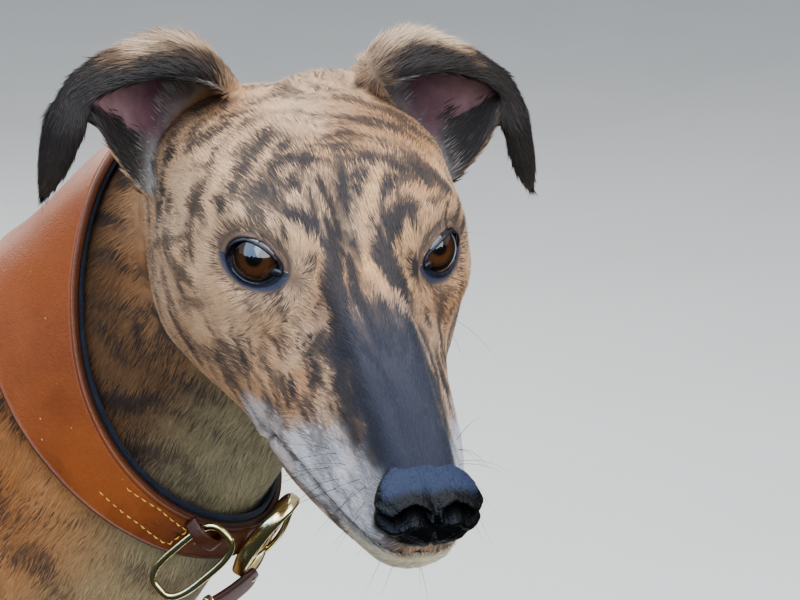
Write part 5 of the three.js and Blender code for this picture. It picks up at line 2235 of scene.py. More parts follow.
@dataclass(frozen=True)
class Collar:
    """The collar: lining, strap, thread, ring with its loop, buckle and the strap's free end."""

    ring_angle: float = 239.5
    loop_along: float = 33.0
    buckle_angle: float = 277.0
    tail_angle: float = 263.0
    middle_along: float = 30.0
    tail_along: float = 7.0
    ring_size: tuple[float, float] = (21.0, 9.5)
    ring_bar: float = 1.5
    bar_reach: float = 13.5
    bow: float = 0.018
    end_reach: float = 18.0
    end_half_width: float = 8.3
    stitch: float = 2.7
    stitch_gap: float = 1.1

    def layers(self, leather: Material, lining: Material) -> None:
        """Places the lining and the strap.

        Args:
            leather: the strap's finish.
            lining: the lining's finish.
        """
        surface, edge, _ = Band(LINING_INSIDE, LINING_OUTSIDE, -0.6, 0.4, False, 360).surface()
        piece("collar_felt", surface, lining, ("collar_lining",), {"Edge": edge})
        surface, edge, dark = Band(STRAP_INSIDE, STRAP_OUTSIDE, 1.2, 1.2, True).surface()
        piece("collar_leather", surface, leather, ("collar_strap",), {"Edge": edge, "Dark": dark})

    def stitches(self, material: Material) -> None:
        """Places the open row of stitches beside the ring, each a small capsule laid on the leather.

        Args:
            material: the thread's finish.
        """
        row = np.array([[203, 11.2], [211, 13.9], [219, 16.6], [229, 18.0], [231.2, 19.2], [232, 22.7], [234, 28.6],
                        [221, 27.7], [208, 22.1]])
        angles = np.radians(row[:, 0])
        anchor = WRAP.at(angles, row[:, 1], np.full(len(row), STRAP_OUTSIDE))
        steps = np.concatenate([[0.0], np.cumsum(np.linalg.norm(np.diff(anchor, axis=0), axis=1))])
        starts = np.arange(0.4, steps[-1] - self.stitch, self.stitch + self.stitch_gap)
        made = []
        for start in starts:
            t = np.linspace(start, start + self.stitch, 9)
            round_it = np.interp(t, steps, angles)
            along = np.interp(t, steps, row[:, 1])
            bow = np.sin(np.linspace(0.0, np.pi, 9))
            path = WRAP.at(round_it, along, STRAP_OUTSIDE - 0.25 + 0.5 * bow)
            base = WRAP.at(round_it, along, np.full(9, STRAP_OUTSIDE - 3.0))
            profile = circle(8, 0.42, 0.36)[None] * np.maximum(bow, 0.45)[:, None, None]
            made.append(swept(path, profile, unit(path - base)))
        piece("collar_thread", joined(made), material)

    def ring(self, brass: Material, leather: Material) -> None:
        """Places the ring, which leans on the strap across it, and the loop that holds its head end.

        Args:
            brass: the ring's finish.
            leather: the loop's finish.
        """
        at, round_it, across, outwards = WRAP.seat(self.ring_angle, 21.0, 5.6)
        leaning = unit(0.6 * outwards + 0.8 * round_it)
        turn = turns(120)
        oval = circle(120, *self.ring_size, 0.62) * (1.0 - self.ring_bar / self.ring_size[0])
        path = at + across * oval[:, :1] + leaning * oval[:, 1:]
        normal = unit(across * np.cos(turn)[:, None] + leaning * np.sin(turn)[:, None])
        bar = rounded_bar(path, normal, self.ring_bar, self.ring_bar)
        piece("leash_ring", bar, brass, ("collar_ring",))
        bridge = np.linspace(-1.0, 1.0, 41)[:, None]
        seat, round_it, across, outwards = WRAP.seat(self.ring_angle, self.loop_along, 0.0)
        rise = 8.6 * np.clip(1.0 - np.abs(bridge) ** 3, 0.0, 1.0) - 0.6
        path = seat + round_it * bridge * 8.5 + outwards * rise
        profile = circle(20, 3.0, 1.0, 0.45)
        normal = unit(outwards + round_it * 0.9 * bridge ** 3)
        # The loop is painted dark all over like the stretch under the throat: partly darker leather, partly painted
        # shadow.
        piece("ring_loop_leather", swept(path, profile, normal), leather, ("collar_ring_tab",),
              {"Edge": np.zeros(41 * 20 + 2), "Dark": np.full(41 * 20 + 2, 1.0)})

    def buckle(self, brass: Material) -> None:
        """Places the buckle: a broad polished frame, curved with the throat, with a ball end and a tongue.

        Args:
            brass: its finish.
        """
        at, round_it, across, outwards = WRAP.seat(self.buckle_angle, self.middle_along, 5.2)
        outline = np.array([[-12, -16], [-13.6, -8], [-14, 2], [-12, 13], [-7, 20.5], [0, 23], [7, 20.5],
                            [12, 13], [14, 2], [13.6, -8], [12, -16], [7, -18.6], [0, -19.2], [-7, -18.6],
                            [-12, -16]], float)
        smooth = rows_at(outline, np.linspace(0.0, 1.0, 120, endpoint=False))
        bow = -self.bow * smooth[:, :1] ** 2
        path = at + round_it * smooth[:, :1] + across * smooth[:, 1:] + outwards * bow
        normal = np.tile(outwards, (120, 1))
        tall = 3.9 - 0.05 * np.abs(smooth[:, 1])
        profile = circle(16, 1.5, 1.0, 0.8)[None] * np.stack([np.ones(120), tall], 1)[:, None]
        made = [swept(path, profile, normal, True)]
        bar = np.linspace(-1.0, 1.0, 30)[:, None]
        reach = self.bar_reach * bar
        path = at + round_it * reach - across * 6.0 - outwards * self.bow * reach ** 2
        made.append(swept(path, circle(12, 1.6, 1.4), np.tile(outwards, (30, 1))))
        prong = np.linspace(0.0, 1.0, 30)[:, None]
        path = at + across * (-7.0 + 26.0 * prong) + outwards * (1.4 + 1.6 * np.sin(np.pi * prong))
        made.append(swept(path, circle(12, 1.6, 1.3), np.tile(outwards, (30, 1))))
        ball = 3.1 * globe(16, 24)[..., [1, 2, 0]]
        made.append(closed_loft(ball + at - across * 19.5 - round_it * 6.0 + outwards * 2.0))
        piece("buckle_frame", joined(made), brass, ("collar_buckle",))

    def free_end(self, leather: Material, brass: Material) -> None:
        """Places the strap's free end, which lies over the collar and turns off it, and its small metal keeper.

        Args:
            leather: the strap's finish.
            brass: the keeper's finish.
        """
        at, round_it, across, outwards = WRAP.seat(self.tail_angle, self.tail_along, 8.0)
        run = unit(-0.84 * round_it - 0.54 * across)
        width = unit(-0.495 * round_it + 0.767 * across + 0.407 * outwards)
        face = unit(np.cross(run, width))
        face = unit(face * np.sign(face @ outwards) + 0.45 * width)
        width = np.cross(run, face)
        share = np.linspace(-1.0, 1.0, 50)[:, None]
        path = at + run * share * self.end_reach - outwards * (1.6 * share ** 2)
        ends = np.clip(1.0 - np.abs(share[:, 0]) ** 14, 0.12, 1.0)
        profile = circle(24, self.end_half_width, 1.45, 0.4)[None] * np.stack([ends, np.ones(50)], 1)[:, None]
        strap = swept(path, profile, np.tile(face, (50, 1)))
        edge = np.clip(np.abs((strap.points - at) @ width) / self.end_half_width - 0.55, 0.0, 1.0)
        piece("strap_end_leather", strap, leather, ("collar_strap_end",), {"Edge": edge})
        angle = turns(60)
        hoop = circle(60, 9.4, 2.6, 0.5)
        middle = at + run * 10.0 - outwards * 0.5
        path = middle + width * hoop[:, :1] + face * hoop[:, 1:]
        normal = unit(width * np.cos(angle)[:, None] + face * np.sin(angle)[:, None])
        piece("strap_keeper", rounded_bar(path, normal, 1.6, 0.5), brass)

    def make(self, leather: Material, dark: Material, lining: Material, thread: Material, brass: Material) -> None:
        """Places the whole collar.

        Args:
            leather: the strap's and the loop's finish.
            dark: the free end's finish.
            lining: the lining's finish.
            thread: the stitches' finish.
            brass: the metal's finish.
        """
        self.layers(leather, lining)
        self.stitches(thread)
        self.ring(brass, leather)
        self.buckle(brass)
        self.free_end(dark, brass)


@dataclass(frozen=True)
class Mark:
    """A streak or patch of the coat on the head, in its own axes; a mirrored one lies on both sides."""

    path: tuple[Triple, ...]
    width: float
    strength: float = 1.0
    mirrored: bool = True

    def share(self, points: Array) -> Array:
        """How much of the mark lies at each point, 0 to 1, with an uneven soft border.

        Args:
            points: places in the head's axes, (n, 3).

        Returns:
            Shares, (n,).
        """
        path = np.array(self.path, float)
        distance = path_distance(points, path)
        if self.mirrored:
            distance = np.minimum(distance, path_distance(points, path * np.array([1.0, -1.0, 1.0])))
        near = distance < 3.0 * self.width + 6.0
        value = np.zeros(len(points))
        border = distance[near] + 0.32 * self.width * mottle(points[near] / 5.0, SEED + 21, 2)
        value[near] = self.strength * (1.0 - ease(0.55 * self.width, 1.45 * self.width, border))
        return value


DARK_MARKS = [
    Mark(((-8, -40, 16), (-15, -39, 19), (-26, -32, 25), (-32, -26, 27), (-38, -18, 29), (-45, -5, 30)), 3.4, 0.9),
    Mark(((-45, -5, 30), (-46, 9, 30), (-43, 20, 29)), 3.2, 0.8, False),
    Mark(((-16, -25, 24), (-20, -21, 26), (-23, -11, 26), (-23, 1, 26)), 2.8, 0.85),
    Mark(((-49, -27, 29), (-52, -15, 30)), 3.4, 0.8),
    Mark(((-49, -49, 18), (-51, -34, 27)), 3.4, 0.8),
    Mark(((-66, -52, 12), (-70, -30, 26), (-68, -12, 29)), 3.0, 0.6),
    Mark(((-9, -40, 17), (-1, -32, 17)), 2.6, 0.8),
    Mark(((-41, 5, 29), (-23, 2, 26), (-6, 0, 20), (6, 0, 15)), 2.8, 0.9, False),
    Mark(((-11, -8, 23), (-2, -6, 19), (12, -5, 12)), 2.2, 0.8, False),
    Mark(((2, -23, 17), (7, -16, 15)), 3.2, 0.8),
    Mark(((-9, 18, 22), (-14, 34, 21)), 2.8, 0.7),
    Mark(((-1, 24, 18), (6, 13, 16), (12, 13, 13)), 2.4, 0.7, False),
    Mark(((18, -10, 10), (36, -12, 1), (52, -11, -5)), 2.8, 0.75),
    Mark(((12, -2, 12), (32, -5, 3), (55, -2, -4)), 2.2, 0.8, False),
    Mark(((13, -38, -11), (21, -34, -16), (24, -36, -25), (30, -36, -31)), 2.6, 0.6),
    Mark(((-21, -57, -16), (-9, -54, -16)), 3.4, 0.7),
    Mark(((-50, -59, -24), (-17, -55, -1)), 2.6, 0.6),
    Mark(((-18, -55, -31), (-2, -51, -22)), 2.4, 0.5),
    Mark(((-13, -51, -46), (9, -45, -40), (17, -41, -42)), 4.0, 0.55),
    Mark(((-60, -60, -8), (-40, -60, -8)), 3.0, 0.5),
    Mark(((-72, -63, -30), (-44, -60, -42)), 3.2, 0.55),
    Mark(((-84, -48, -2), (-66, -60, -4)), 3.2, 0.55),
    Mark(((42, -21, -11), (56, -16, -11), (71, -17, -18), (83, -18, -23)), 4.5, 0.55),
]

LIGHT_MARKS = [
    Mark(((-14, 15, 24), (-4, 9, 20), (6, 4, 15), (20, 2, 8), (30, 4, 4), (41, 10, 0), (47, 16, -7), (60, 19, -15)),
         2.6, 0.9, False),
    Mark(((12, -21, 11), (19, -15, 9), (26, -19, 1)), 3.0, 0.8),
    Mark(((-77, -24, 27), (-73, -5, 29), (-67, 14, 30)), 5.0, 0.7, False),
]

MUZZLE_SLATE = Mark(((30, 0, 3), (52, 0, -4), (74, 0, -9), (89, 0, -13), (108, 0, -22)), 17.0, 1.0, False)
PALE_LIPS = [Mark(((70, -27, -43), (90, -22, -42), (104, -19, -43)), 13.0, 0.95),
             Mark(((30, -37, -54), (60, -33, -47)), 10.0, 0.7),
             Mark(((78, -26, -34), (104, -18, -33)), 9.0, 0.75)]
MUZZLE_ORANGE = Mark(((49, -27, -22), (58, -28, -29), (67, -28, -38)), 6.0, 0.7)
CHIN = Mark(((118, 0, -58), (96, 0, -64), (60, 0, -68), (20, 0, -72)), 22.0, 0.95, False)
LIP_DARK = Mark(((112, -15, -50), (90, -22, -52), (77, -26, -55), (56, -31, -58), (38, -33, -59)), 2.6, 0.6)


def light_of(red: float, green: float, blue: float) -> Array:
    """A display colour, 0 to 255, as linear numbers."""
    return np.array(tone(red, green, blue)[:3])


@dataclass
class Spot:
    """Points of the skin with their places on the body's runs, on the ears and in the head's axes."""

    points: Array
    places: Places
    ears: EarPlaces
    head: Array

    @classmethod
    def of(cls, points: Array) -> "Spot":
        """Finds the places of points."""
        return cls(points, BODY.locate(points), EARS.locate(points), HEAD_FRAME.into(points))

    def picked(self, chosen: Array) -> "Spot":
        """Some of the points, with their places.

        Args:
            chosen: indices of the points.

        Returns:
            The chosen ones.
        """
        places = Places(BODY, self.places.along[chosen], self.places.angle[chosen], self.places.weight[chosen],
                        self.places.index[chosen])
        ears = EarPlaces(*(getattr(self.ears, item.name)[chosen] for item in fields(EarPlaces)))
        return Spot(self.points[chosen], places, ears, self.head[chosen])


@dataclass
class Painted:
    """Colours of the coat at points: the warm hair, the dark hair, how much is dark, and how bare the skin is."""

    warm: Array
    dark: Array
    share: Array
    bare: Array
    skin: Array

    def skin_colour(self) -> Array:
        """The skin under the hair: the hair's mean colour made a tenth darker as painted shade under the hair, or the
        bare skin's own.
        """
        hair = toward(self.warm, self.dark, self.share)
        return hair * 0.9 * (1.0 - self.bare[:, None]) + self.skin * self.bare[:, None]


@dataclass(frozen=True)
class Markings:
    """The brindle coat: dark stripes across each run of the body on fawn, with the head's own marks."""

    def stripes(self, points: Array, places: Places) -> Array:
        """How dark the brindle is: noise stretched round each run, so that its bands lie across it.

        Args:
            points: places in the part, (n, 3).
            places: where they lie on the runs.

        Returns:
            Shares, (n,).
        """
        total = np.zeros(len(points))
        for k, region in enumerate(BODY.regions):
            held = places.weight[:, k] > 0.0
            if not held.any():
                continue
            along, angle = places.along[held, k], places.angle[held, k]
            reach = region.reaches[places.index[held, k]].mean(1)
            fine = 0.5 if region.name in ("head", "neck") else 0.85
            bend = 9.0 * mottle(points[held] / 48.0, SEED + 4, 2) + 3.5 * mottle(points[held] / 13.0, SEED + 6, 1)
            lean = 0.25 * reach * np.sin(angle)
            value = 0.0
            for strength, narrow, broad, seed in ((0.7, 11.5, 46.0, 11), (0.5, 5.2, 30.0, 12)):
                cell = np.stack([(along + bend - lean) / (narrow * fine), np.cos(angle) * reach / broad,
                                 np.sin(angle) * reach / broad + 5.0 * k], 1)
                value = value + strength * mottle(cell, SEED + seed, 2)
            total[held] += places.weight[held, k] * value
        return ease(-0.12, 0.5, total)

    def head_lines(self, head: Array) -> Array:
        """The head's fine brindle: noise drawn out along lines of even distance from the bridge, so that it runs
        along the muzzle and in bows over the forehead.

        Args:
            head: places in the head's axes, (n, 3).

        Returns:
            Shares, (n,).
        """
        bridge = np.array([[-2.0, 0.0, 20.0], [40.0, 0.0, 2.0], [110.0, 0.0, -18.0]])
        off = path_distance(head, bridge) + 2.2 * mottle(head / 15.0, SEED + 41, 2)
        value = 0.0
        for strength, narrow, broad, seed, octaves in ((0.75, 3.6, 15.0, 42, 2), (0.45, 1.7, 8.0, 43, 1)):
            cell = np.stack([off / narrow, head[:, 0] / broad, (head[:, 1] + head[:, 2]) / broad], 1)
            value = value + strength * mottle(cell, SEED + seed, octaves)
        return ease(-0.35, 0.65, value)

    @staticmethod
    def crown(head: Array) -> Array:
        """How much points belong to the crown, the skull's top between and behind the ears.

        Args:
            head: points in the head's own axes.

        Returns:
            Shares from 0 to 1.
        """
        return ease(-138.0, -108.0, head[:, 0]) * ease(-25.0, 0.0, head[:, 2]) * ease(60.0, 50.0, np.abs(head[:, 1]))

    def paint(self, spot: Spot) -> Painted:
        """Colours at points.

        Args:
            spot: places on the skin.

        Returns:
            Everything the skin and the tufts need.
        """
        points, places, ears, head = spot.points, spot.places, spot.ears, spot.head
        on_head = places.of("head")
        cloud = mottle(points / 34.0, SEED + 2, 2)[:, None]
        fine = mottle(points / 4.0, SEED + 3, 2)[:, None]
        tint = np.clip(cloud, -1, 1) * 0.5
        warm = light_of(180, 128, 80) + (light_of(200, 156, 112) - light_of(166, 104, 56)) * tint
        dark = toward(light_of(60, 50, 48), light_of(58, 52, 52), on_head)
        share = self.stripes(points, places) * 0.92
        # The underside, the inner thighs and the chest are paler, with fainter stripes
        low = places.of("trunk") * ease(-0.35, -0.95, np.sin(places.angle[:, 2]))
        warm = toward(warm, light_of(222, 196, 160), 0.75 * low)
        share *= 1.0 - 0.7 * low
        legs = places.of("foreleg", "hindleg")
        down = legs * (1.0 - ease(60.0, 330.0, points[:, 2]))
        warm = toward(warm, light_of(204, 158, 108), 0.6 * down)
        share *= 1.0 - 0.45 * down
        # The neck is more orange, cream at the throat, and dark brown between the collar and the head as painted
        # shadow of the head
        neck = places.of("neck")
        above = neck * (1.0 - on_head) * ease(-10.0, 15.0, (points - COLLAR_AT) @ WRAP.axes()[0])
        warm = toward(warm, light_of(152, 104, 66), 0.7 * neck * (1.0 - on_head))
        # Painted shadow of the head on the neck between the collar and the head
        warm = toward(warm, light_of(96, 74, 54), 0.85 * above)
        under_neck = neck * ease(-0.25, -0.8, np.sin(places.angle[:, 1]))
        under_jaw = 0.6 * on_head * ease(-60, -78, head[:, 2]) * ease(50, 0, head[:, 0])
        throat = ease(0.0, -30.0, head[:, 2]) * np.clip(under_neck + under_jaw, 0, 1)
        throat *= ease(450.0, 600.0, points[:, 2])
        warm = toward(warm, light_of(138, 134, 106), 0.7 * throat)
        share *= 1.0 - 0.5 * throat
        # The head has its own marks over a fainter brindle, and the crown goes with it
        crown = self.crown(head) * (1.0 - ears.weight)
        skull = np.maximum(on_head, crown)
        front = skull * ease(-118.0, -92.0, head[:, 0])
        tan = light_of(197, 162, 130) + (light_of(216, 186, 158) - light_of(178, 134, 94)) * tint
        warm = toward(warm, tan, 0.9 * skull)
        share = share * (1.0 - 0.8 * front) + 0.78 * front * self.head_lines(head)
        marks = np.max([mark.share(head) for mark in DARK_MARKS], axis=0)
        pale = np.max([mark.share(head) for mark in LIGHT_MARKS], axis=0)
        share = np.maximum(share, marks * on_head) * (1.0 - 0.85 * pale * on_head)
        warm = toward(warm, light_of(216, 172, 128), 0.7 * pale * on_head)
        # The muzzle's top is slate grey, the coat's own colour, and darker towards the nose; its blue tint is a
        # painted sky reflection
        slate = MUZZLE_SLATE.share(head) * ease(24.0, 66.0, head[:, 0]) * on_head
        warm = toward(warm, light_of(116, 113, 120), 0.9 * slate)
        dark = toward(dark, light_of(46, 48, 60), slate)
        low_bridge = slate * ease(62.0, 92.0, head[:, 0])
        warm = toward(warm, light_of(58, 60, 74), 0.9 * low_bridge)
        share = share + (0.6 - share) * 0.7 * slate
        dusk = ease(-75.0, 10.0, head[:, 0]) * ease(36.0, 12.0, np.abs(head[:, 1])) * on_head
        share = np.clip(share + 0.46 * dusk * (1.0 - 0.6 * pale), 0.0, 1.0)
        orange = MUZZLE_ORANGE.share(head) * on_head
        warm = toward(warm, light_of(178, 132, 94), 0.8 * orange)
        lips = np.max([mark.share(head) for mark in PALE_LIPS], axis=0) * on_head
        warm = toward(warm, light_of(208, 208, 214), lips)
        dark = toward(dark, light_of(92, 94, 104), lips)
        share = share * (1.0 - 0.55 * lips) + 0.1 * lips
        chin = CHIN.share(head) * ease(0.5, -2.5, Skin.off_mouth(head)) * on_head
        warm = toward(warm, light_of(192, 184, 160), 0.9 * chin)
        share = share * (1.0 - 0.8 * chin)
        share = np.maximum(share, LIP_DARK.share(head) * on_head)
        # Short stiff dark spots at the whiskers' roots
        above_row = head[:, 2] + 34.0
        spots = np.exp(-(above_row - 6.0 * np.round(above_row / -6.0)) ** 2)
        spots *= np.exp(-(((head[:, 0] + 300.0) % 4.3 - 2.1) / 0.9) ** 2)
        spots *= ease(72, 80, head[:, 0]) * ease(-50, -44, head[:, 2])
        share = np.maximum(share, 0.75 * spots * on_head * ease(-28.0, -32.0, head[:, 2]))
        # Ears: light fluffy backs next to the skull, dark brown folds in front, bare and rosy inside, with painted
        # shade of the hollow on the inner walls and deep towards the root
        own = ears.weight * ears.outer
        rag = 0.05 * mottle(points / 9.0, SEED + 51, 2)
        hood = own * np.maximum(ease(0.3, 0.46, ears.place + rag), ease(0.62, 0.92, ears.share + 2.0 * rag))
        back = own * (1.0 - ease(0.3, 0.46, ears.place + rag)) * ease(-0.8, -0.2, ears.share)
        warm = toward(warm, light_of(214, 188, 162), 0.88 * back * (1.0 - hood))
        share = share * (1.0 - 0.7 * back)
        warm = toward(warm, light_of(62, 52, 44), 0.9 * hood)
        dark = toward(dark, light_of(44, 39, 38), ears.weight)
        tip = ease(0.8, 0.98, ears.place)
        share = share + (0.85 - 0.4 * tip - share) * hood
        inside = ears.weight * ~ears.outer
        wall = np.maximum(ease(-0.5, -0.8, ears.share + 2.0 * rag), ease(0.56, 0.68, ears.place + rag))
        wall = np.maximum(wall, ease(0.8, 0.93, ears.share))
        # Dark hair on the inside of the ear: painted shade of its hollow
        warm = toward(warm, light_of(92, 84, 82), 0.9 * inside)
        share = share + (0.85 - share) * inside
        bottom = inside * (1.0 - ease(0.1, 0.22, ears.place))
        warm = toward(warm, light_of(168, 162, 158), bottom)
        share -= 0.45 * bottom
        bare = inside * (1.0 - wall) * ease(0.05, 0.16, ears.place)
        # The bare skin is painted darker deeper towards the root: painted shade in the ear's hollow
        deep = 1.0 - ease(0.08, 0.34, ears.place)
        skin = toward(light_of(132, 102, 106), light_of(92, 58, 68), deep)
        rosy = np.exp(-((ears.place - 0.42) / 0.12) ** 2 - ((ears.share + 0.35) / 0.4) ** 2)
        skin = toward(skin, light_of(176, 140, 138), 0.7 * rosy)
        skin = skin * (1.0 + 0.12 * fine)
        # Lids: black edge, bare purplish skin above and blue-grey below
        for lids in LIDS.values():
            local = lids.into(head)
            out = lids.share(local)
            under = local[:, 1] < 0.0
            limit = np.where(under, 1.36, 1.2)
            own_bare = (1.0 - ease(limit - 0.12, limit + 0.08, out)) * (out < 2.0)
            hue = np.where(under[:, None], light_of(54, 56, 74), light_of(74, 58, 62))
            black = 1.0 - ease(1.08, 1.18, out)
            own_skin = toward(hue, light_of(20, 18, 22), np.where(under, 0.75 * black, black))
            skin = np.where((own_bare > bare)[:, None], own_skin, skin)
            bare = np.maximum(bare, own_bare)
            # A ring of painted shade round the opening
            shade = np.exp(-((out - 1.32) / 0.22) ** 2) * on_head * (out < 2.2)
            share = np.maximum(share, 0.85 * shade)
            corner = np.exp(-(np.linalg.norm(local - np.array([-17.0, -2.5, 6.5]), axis=1) / 6.5) ** 2)
            share = np.maximum(share, 0.85 * corner)
        # Soles, the seat of the nose and the line of the mouth
        pads = 1.0 - ease(3.0, 8.0, points[:, 2])
        seat = ease(107.0, 111.0, head[:, 0]) * ease(-46.0, -42.0, head[:, 2]) * (np.abs(head[:, 1]) < 20)
        mouth = np.exp(-(Skin.off_mouth(head) / 1.3) ** 2) * ease(30.0, 38.0, head[:, 0]) * (np.abs(head[:, 1]) < 45)
        for place, hairless, colour in ((pads, pads, (46, 42, 42)), (seat, seat, (26, 25, 29)),
                                        (mouth, mouth * on_head, (24, 21, 24))):
            skin = np.where((place > bare)[:, None], light_of(*colour), skin)
            bare = np.maximum(bare, hairless)
        warm = np.clip(warm * (1.0 + 0.1 * fine), 0.0, 1.0)
        return Painted(warm, dark, np.clip(share, 0.0, 1.0), np.clip(bare, 0.0, 1.0), skin)


@dataclass
class Growth:
    """How the hair grows at points: length, width, number to the square millimetre, lift and direction."""

    length: Array
    width: Array
    density: Array
    lift: Array
    lie: Array


@dataclass(frozen=True)
class Coat:
    """Short flat hair over the whole skin, in joined tufts that follow the lie of the coat."""

    patch: float = 0.003
    most: int = 46000

    def growth(self, spot: Spot, normals: Array) -> Growth:
        """How the hair grows at points; each kind of coat gives its length, width, density and lift.

        Args:
            spot: places on the skin.
            normals: the skin's directions there.

        Returns:
            Sizes in millimetres, density, lift as a slope, and the unit direction along the skin.
        """
        places, ears, head, points = spot.places, spot.ears, spot.head, spot.points
        kinds = {"head": (4.0, 0.30, 2.25, 0.05), "neck": (8.0, 0.68, 0.54, 0.06),
                 "trunk": (13.0, 1.4, 0.13, 0.05), "foreleg": (8.5, 1.0, 0.2, 0.055),
                 "hindleg": (9.5, 1.2, 0.18, 0.055), "tail": (12.0, 1.1, 0.28, 0.08)}
        mixed = sum(places.of(word)[:, None] * np.array(kind) for word, kind in kinds.items())
        on_head, outer, inner = places.of("head"), ears.weight * ears.outer, ears.weight * ~ears.outer
        fringe = outer * ease(-0.3, 0.3, ears.share) * (1.0 - ease(0.3, 0.5, ears.place))
        for sizes, share in (((5.2, 0.4, 1.5, 0.06), on_head * ease(0.0, -90.0, head[:, 0])),
                             ((7.0, 0.55, 0.82, 0.07), places.of("neck") * ease(640.0, 720.0, points[:, 2])),
                             ((4.4, 0.34, 1.9, 0.05), Markings.crown(head)),
                             ((5.5, 0.7, 0.4, 0.07), 1.0 - ease(30.0, 75.0, points[:, 2])),
                             ((2.9, 0.26, 3.0, 0.05), on_head * ease(40.0, 90.0, head[:, 0])),
                             ((5.0, 0.4, 2.0, 0.09), outer),
                             ((8.0, 0.42, 2.2, 0.22), fringe),
                             ((5.5, 0.36, 1.6, 0.16), inner)):
            mixed = toward(mixed, np.array(sizes), share)
        lie = places.mixed([region.tangent for region in BODY.regions])
        lie += np.array([0.0, 0.0, -0.4]) * (places.of("trunk") + 0.5 * places.of("neck"))[:, None]
        side = HEAD_FRAME.axes()[1] * np.sign(head[:, 1:2]) * 0.18 - HEAD_FRAME.axes()[2] * 0.22
        lie += side * places.of("head")[:, None]
        for lids in LIDS.values():
            local = lids.into(head)
            away = np.hypot(local[:, 0], local[:, 1])
            close = (1.0 - ease(14.0, 30.0, away)) * (local[:, 2] > -6.0) * (np.abs(local[:, 2]) < 30.0)
            outwards = np.stack([local[:, 0] + 16.0, local[:, 1] * 1.5, 0.0 * away], 1)
            radial = unit(outwards) @ lids.axes() @ HEAD_FRAME.axes()
            lie += 2.0 * close[:, None] * (radial - lie * 0.5)
        lie = lie * (1.0 - ears.weight[:, None]) + ears.along * ears.weight[:, None] * 1.5
        away = ears.normal * (fringe * 0.5)[:, None]
        turn = 0.22 * mottle(points / 24.0, SEED + 31, 2) + 0.12 * mottle(points / 6.0, SEED + 32, 1)
        lie = lie + away - normals * np.einsum("ij,ij->i", lie + away, normals)[:, None]
        lie = unit(lie)
        lie = unit(lie + np.cross(normals, lie) * turn[:, None])
        return Growth(mixed[:, 0], mixed[:, 1], mixed[:, 2], mixed[:, 3], lie)

    def covered(self, points: Array) -> Array:
        """Where the collar presses the coat flat, 0 or 1.

        Args:
            points: places in the part, (n, 3).

        Returns:
            Booleans, (n,).
        """
        axis, up = WRAP.axes()
        arm = points - COLLAR_AT
        along, high = arm @ axis, arm @ up
        head = COLLAR_HEAD_EDGE[0] + COLLAR_HEAD_EDGE[2] * (high - COLLAR_HEAD_EDGE[1]) ** 2
        body = COLLAR_BODY_EDGE[0] + COLLAR_BODY_EDGE[2] * (high - COLLAR_BODY_EDGE[1]) ** 2
        return (along < head - 3.0) & (along > body + 4.0) & (np.linalg.norm(arm, axis=1) < 130.0)

    def roots(self, skin: Surface, normals: Array, random: np.random.Generator) -> tuple[Array, Array]:
        """Where the tufts grow: evenly over the skin by the density wanted.

        Args:
            skin: the finished skin.
            normals: its directions.
            random: the seeded source.

        Returns:
            Points and their normals.
        """
        a, b, c = (skin.points[skin.faces[:, k]] for k in range(3))
        area = 0.5 * np.linalg.norm(np.cross(b - a, c - a), axis=1)
        middle = (a + b + c) / 3.0
        direction = unit(normals[skin.faces].sum(1))
        spot = Spot.of(middle)
        density = self.growth(spot, direction).density * 1.0
        painted = Markings().paint(spot)
        wanted = area * density * (1.0 - ease(0.45, 0.85, painted.bare)) * ~self.covered(middle)
        wanted *= middle[:, 2] > 5.0
        steps = np.cumsum(wanted)
        count = int(steps[-1])
        pick = (np.arange(count) + random.random(count)) / count * steps[-1]
        face = np.minimum(np.searchsorted(steps, pick), len(steps) - 1)
        u, v = random.random(count), random.random(count)
        over = u + v > 1.0
        u, v = np.where(over, 1.0 - u, u), np.where(over, 1.0 - v, v)
        weights = np.stack([1.0 - u - v, u, v], 1)[:, :, None]
        return (skin.points[skin.faces[face]] * weights).sum(1), unit((normals[skin.faces[face]] * weights).sum(1))

    def tufts(self, spot: Spot, normals: Array, random: np.random.Generator) -> tuple[Surface, Array, Array, Array]:
        """The tufts: four triangles each between root, left, right and tip.

        Args:
            spot: where they grow.
            normals: the skin's directions.
            random: the seeded source.

        Returns:
            The surface, its colours, its normals, and its places on the unwrap.
        """
        roots = spot.points
        count = len(roots)
        grown = self.growth(spot, normals)
        painted = Markings().paint(spot)

        def vary(spread: float, least: float, most: float) -> Array:
            """One factor about 1 for each tuft."""
            return np.clip(1.0 + random.normal(0.0, spread, count), least, most)

        length = (grown.length * vary(0.22, 0.5, 1.6))[:, None]
        width = (grown.width * vary(0.25, 0.5, 1.6))[:, None]
        lift = (grown.lift * vary(0.4, 0.2, 2.0))[:, None]
        side = np.cross(normals, grown.lie)
        way = unit(grown.lie + side * (random.normal(0.0, 0.11, count))[:, None])
        side = np.cross(normals, way)
        root = roots - normals * (0.2 * width)
        tip = roots + way * length + normals * (lift * length)
        middle = root + (tip - root) * 0.38 - normals * (0.16 * width)
        left = middle + side * (0.5 * width)
        right = middle - side * (0.5 * width)
        points = np.stack([root, left, right, tip], 1).reshape(-1, 3)
        corner = np.array([[0, 3, 1], [0, 2, 3], [0, 1, 2], [3, 2, 1]])
        faces = (np.arange(count)[:, None, None] * 4 + corner).reshape(-1, 3)
        chosen = random.random(count) < ease(0.08, 0.92, painted.share)
        colour = np.where(chosen[:, None], painted.dark, painted.warm) * vary(0.19, 0.4, 1.7)[:, None]
        soft = toward(painted.warm, painted.dark, painted.share)
        colour = 0.45 * colour + 0.55 * soft
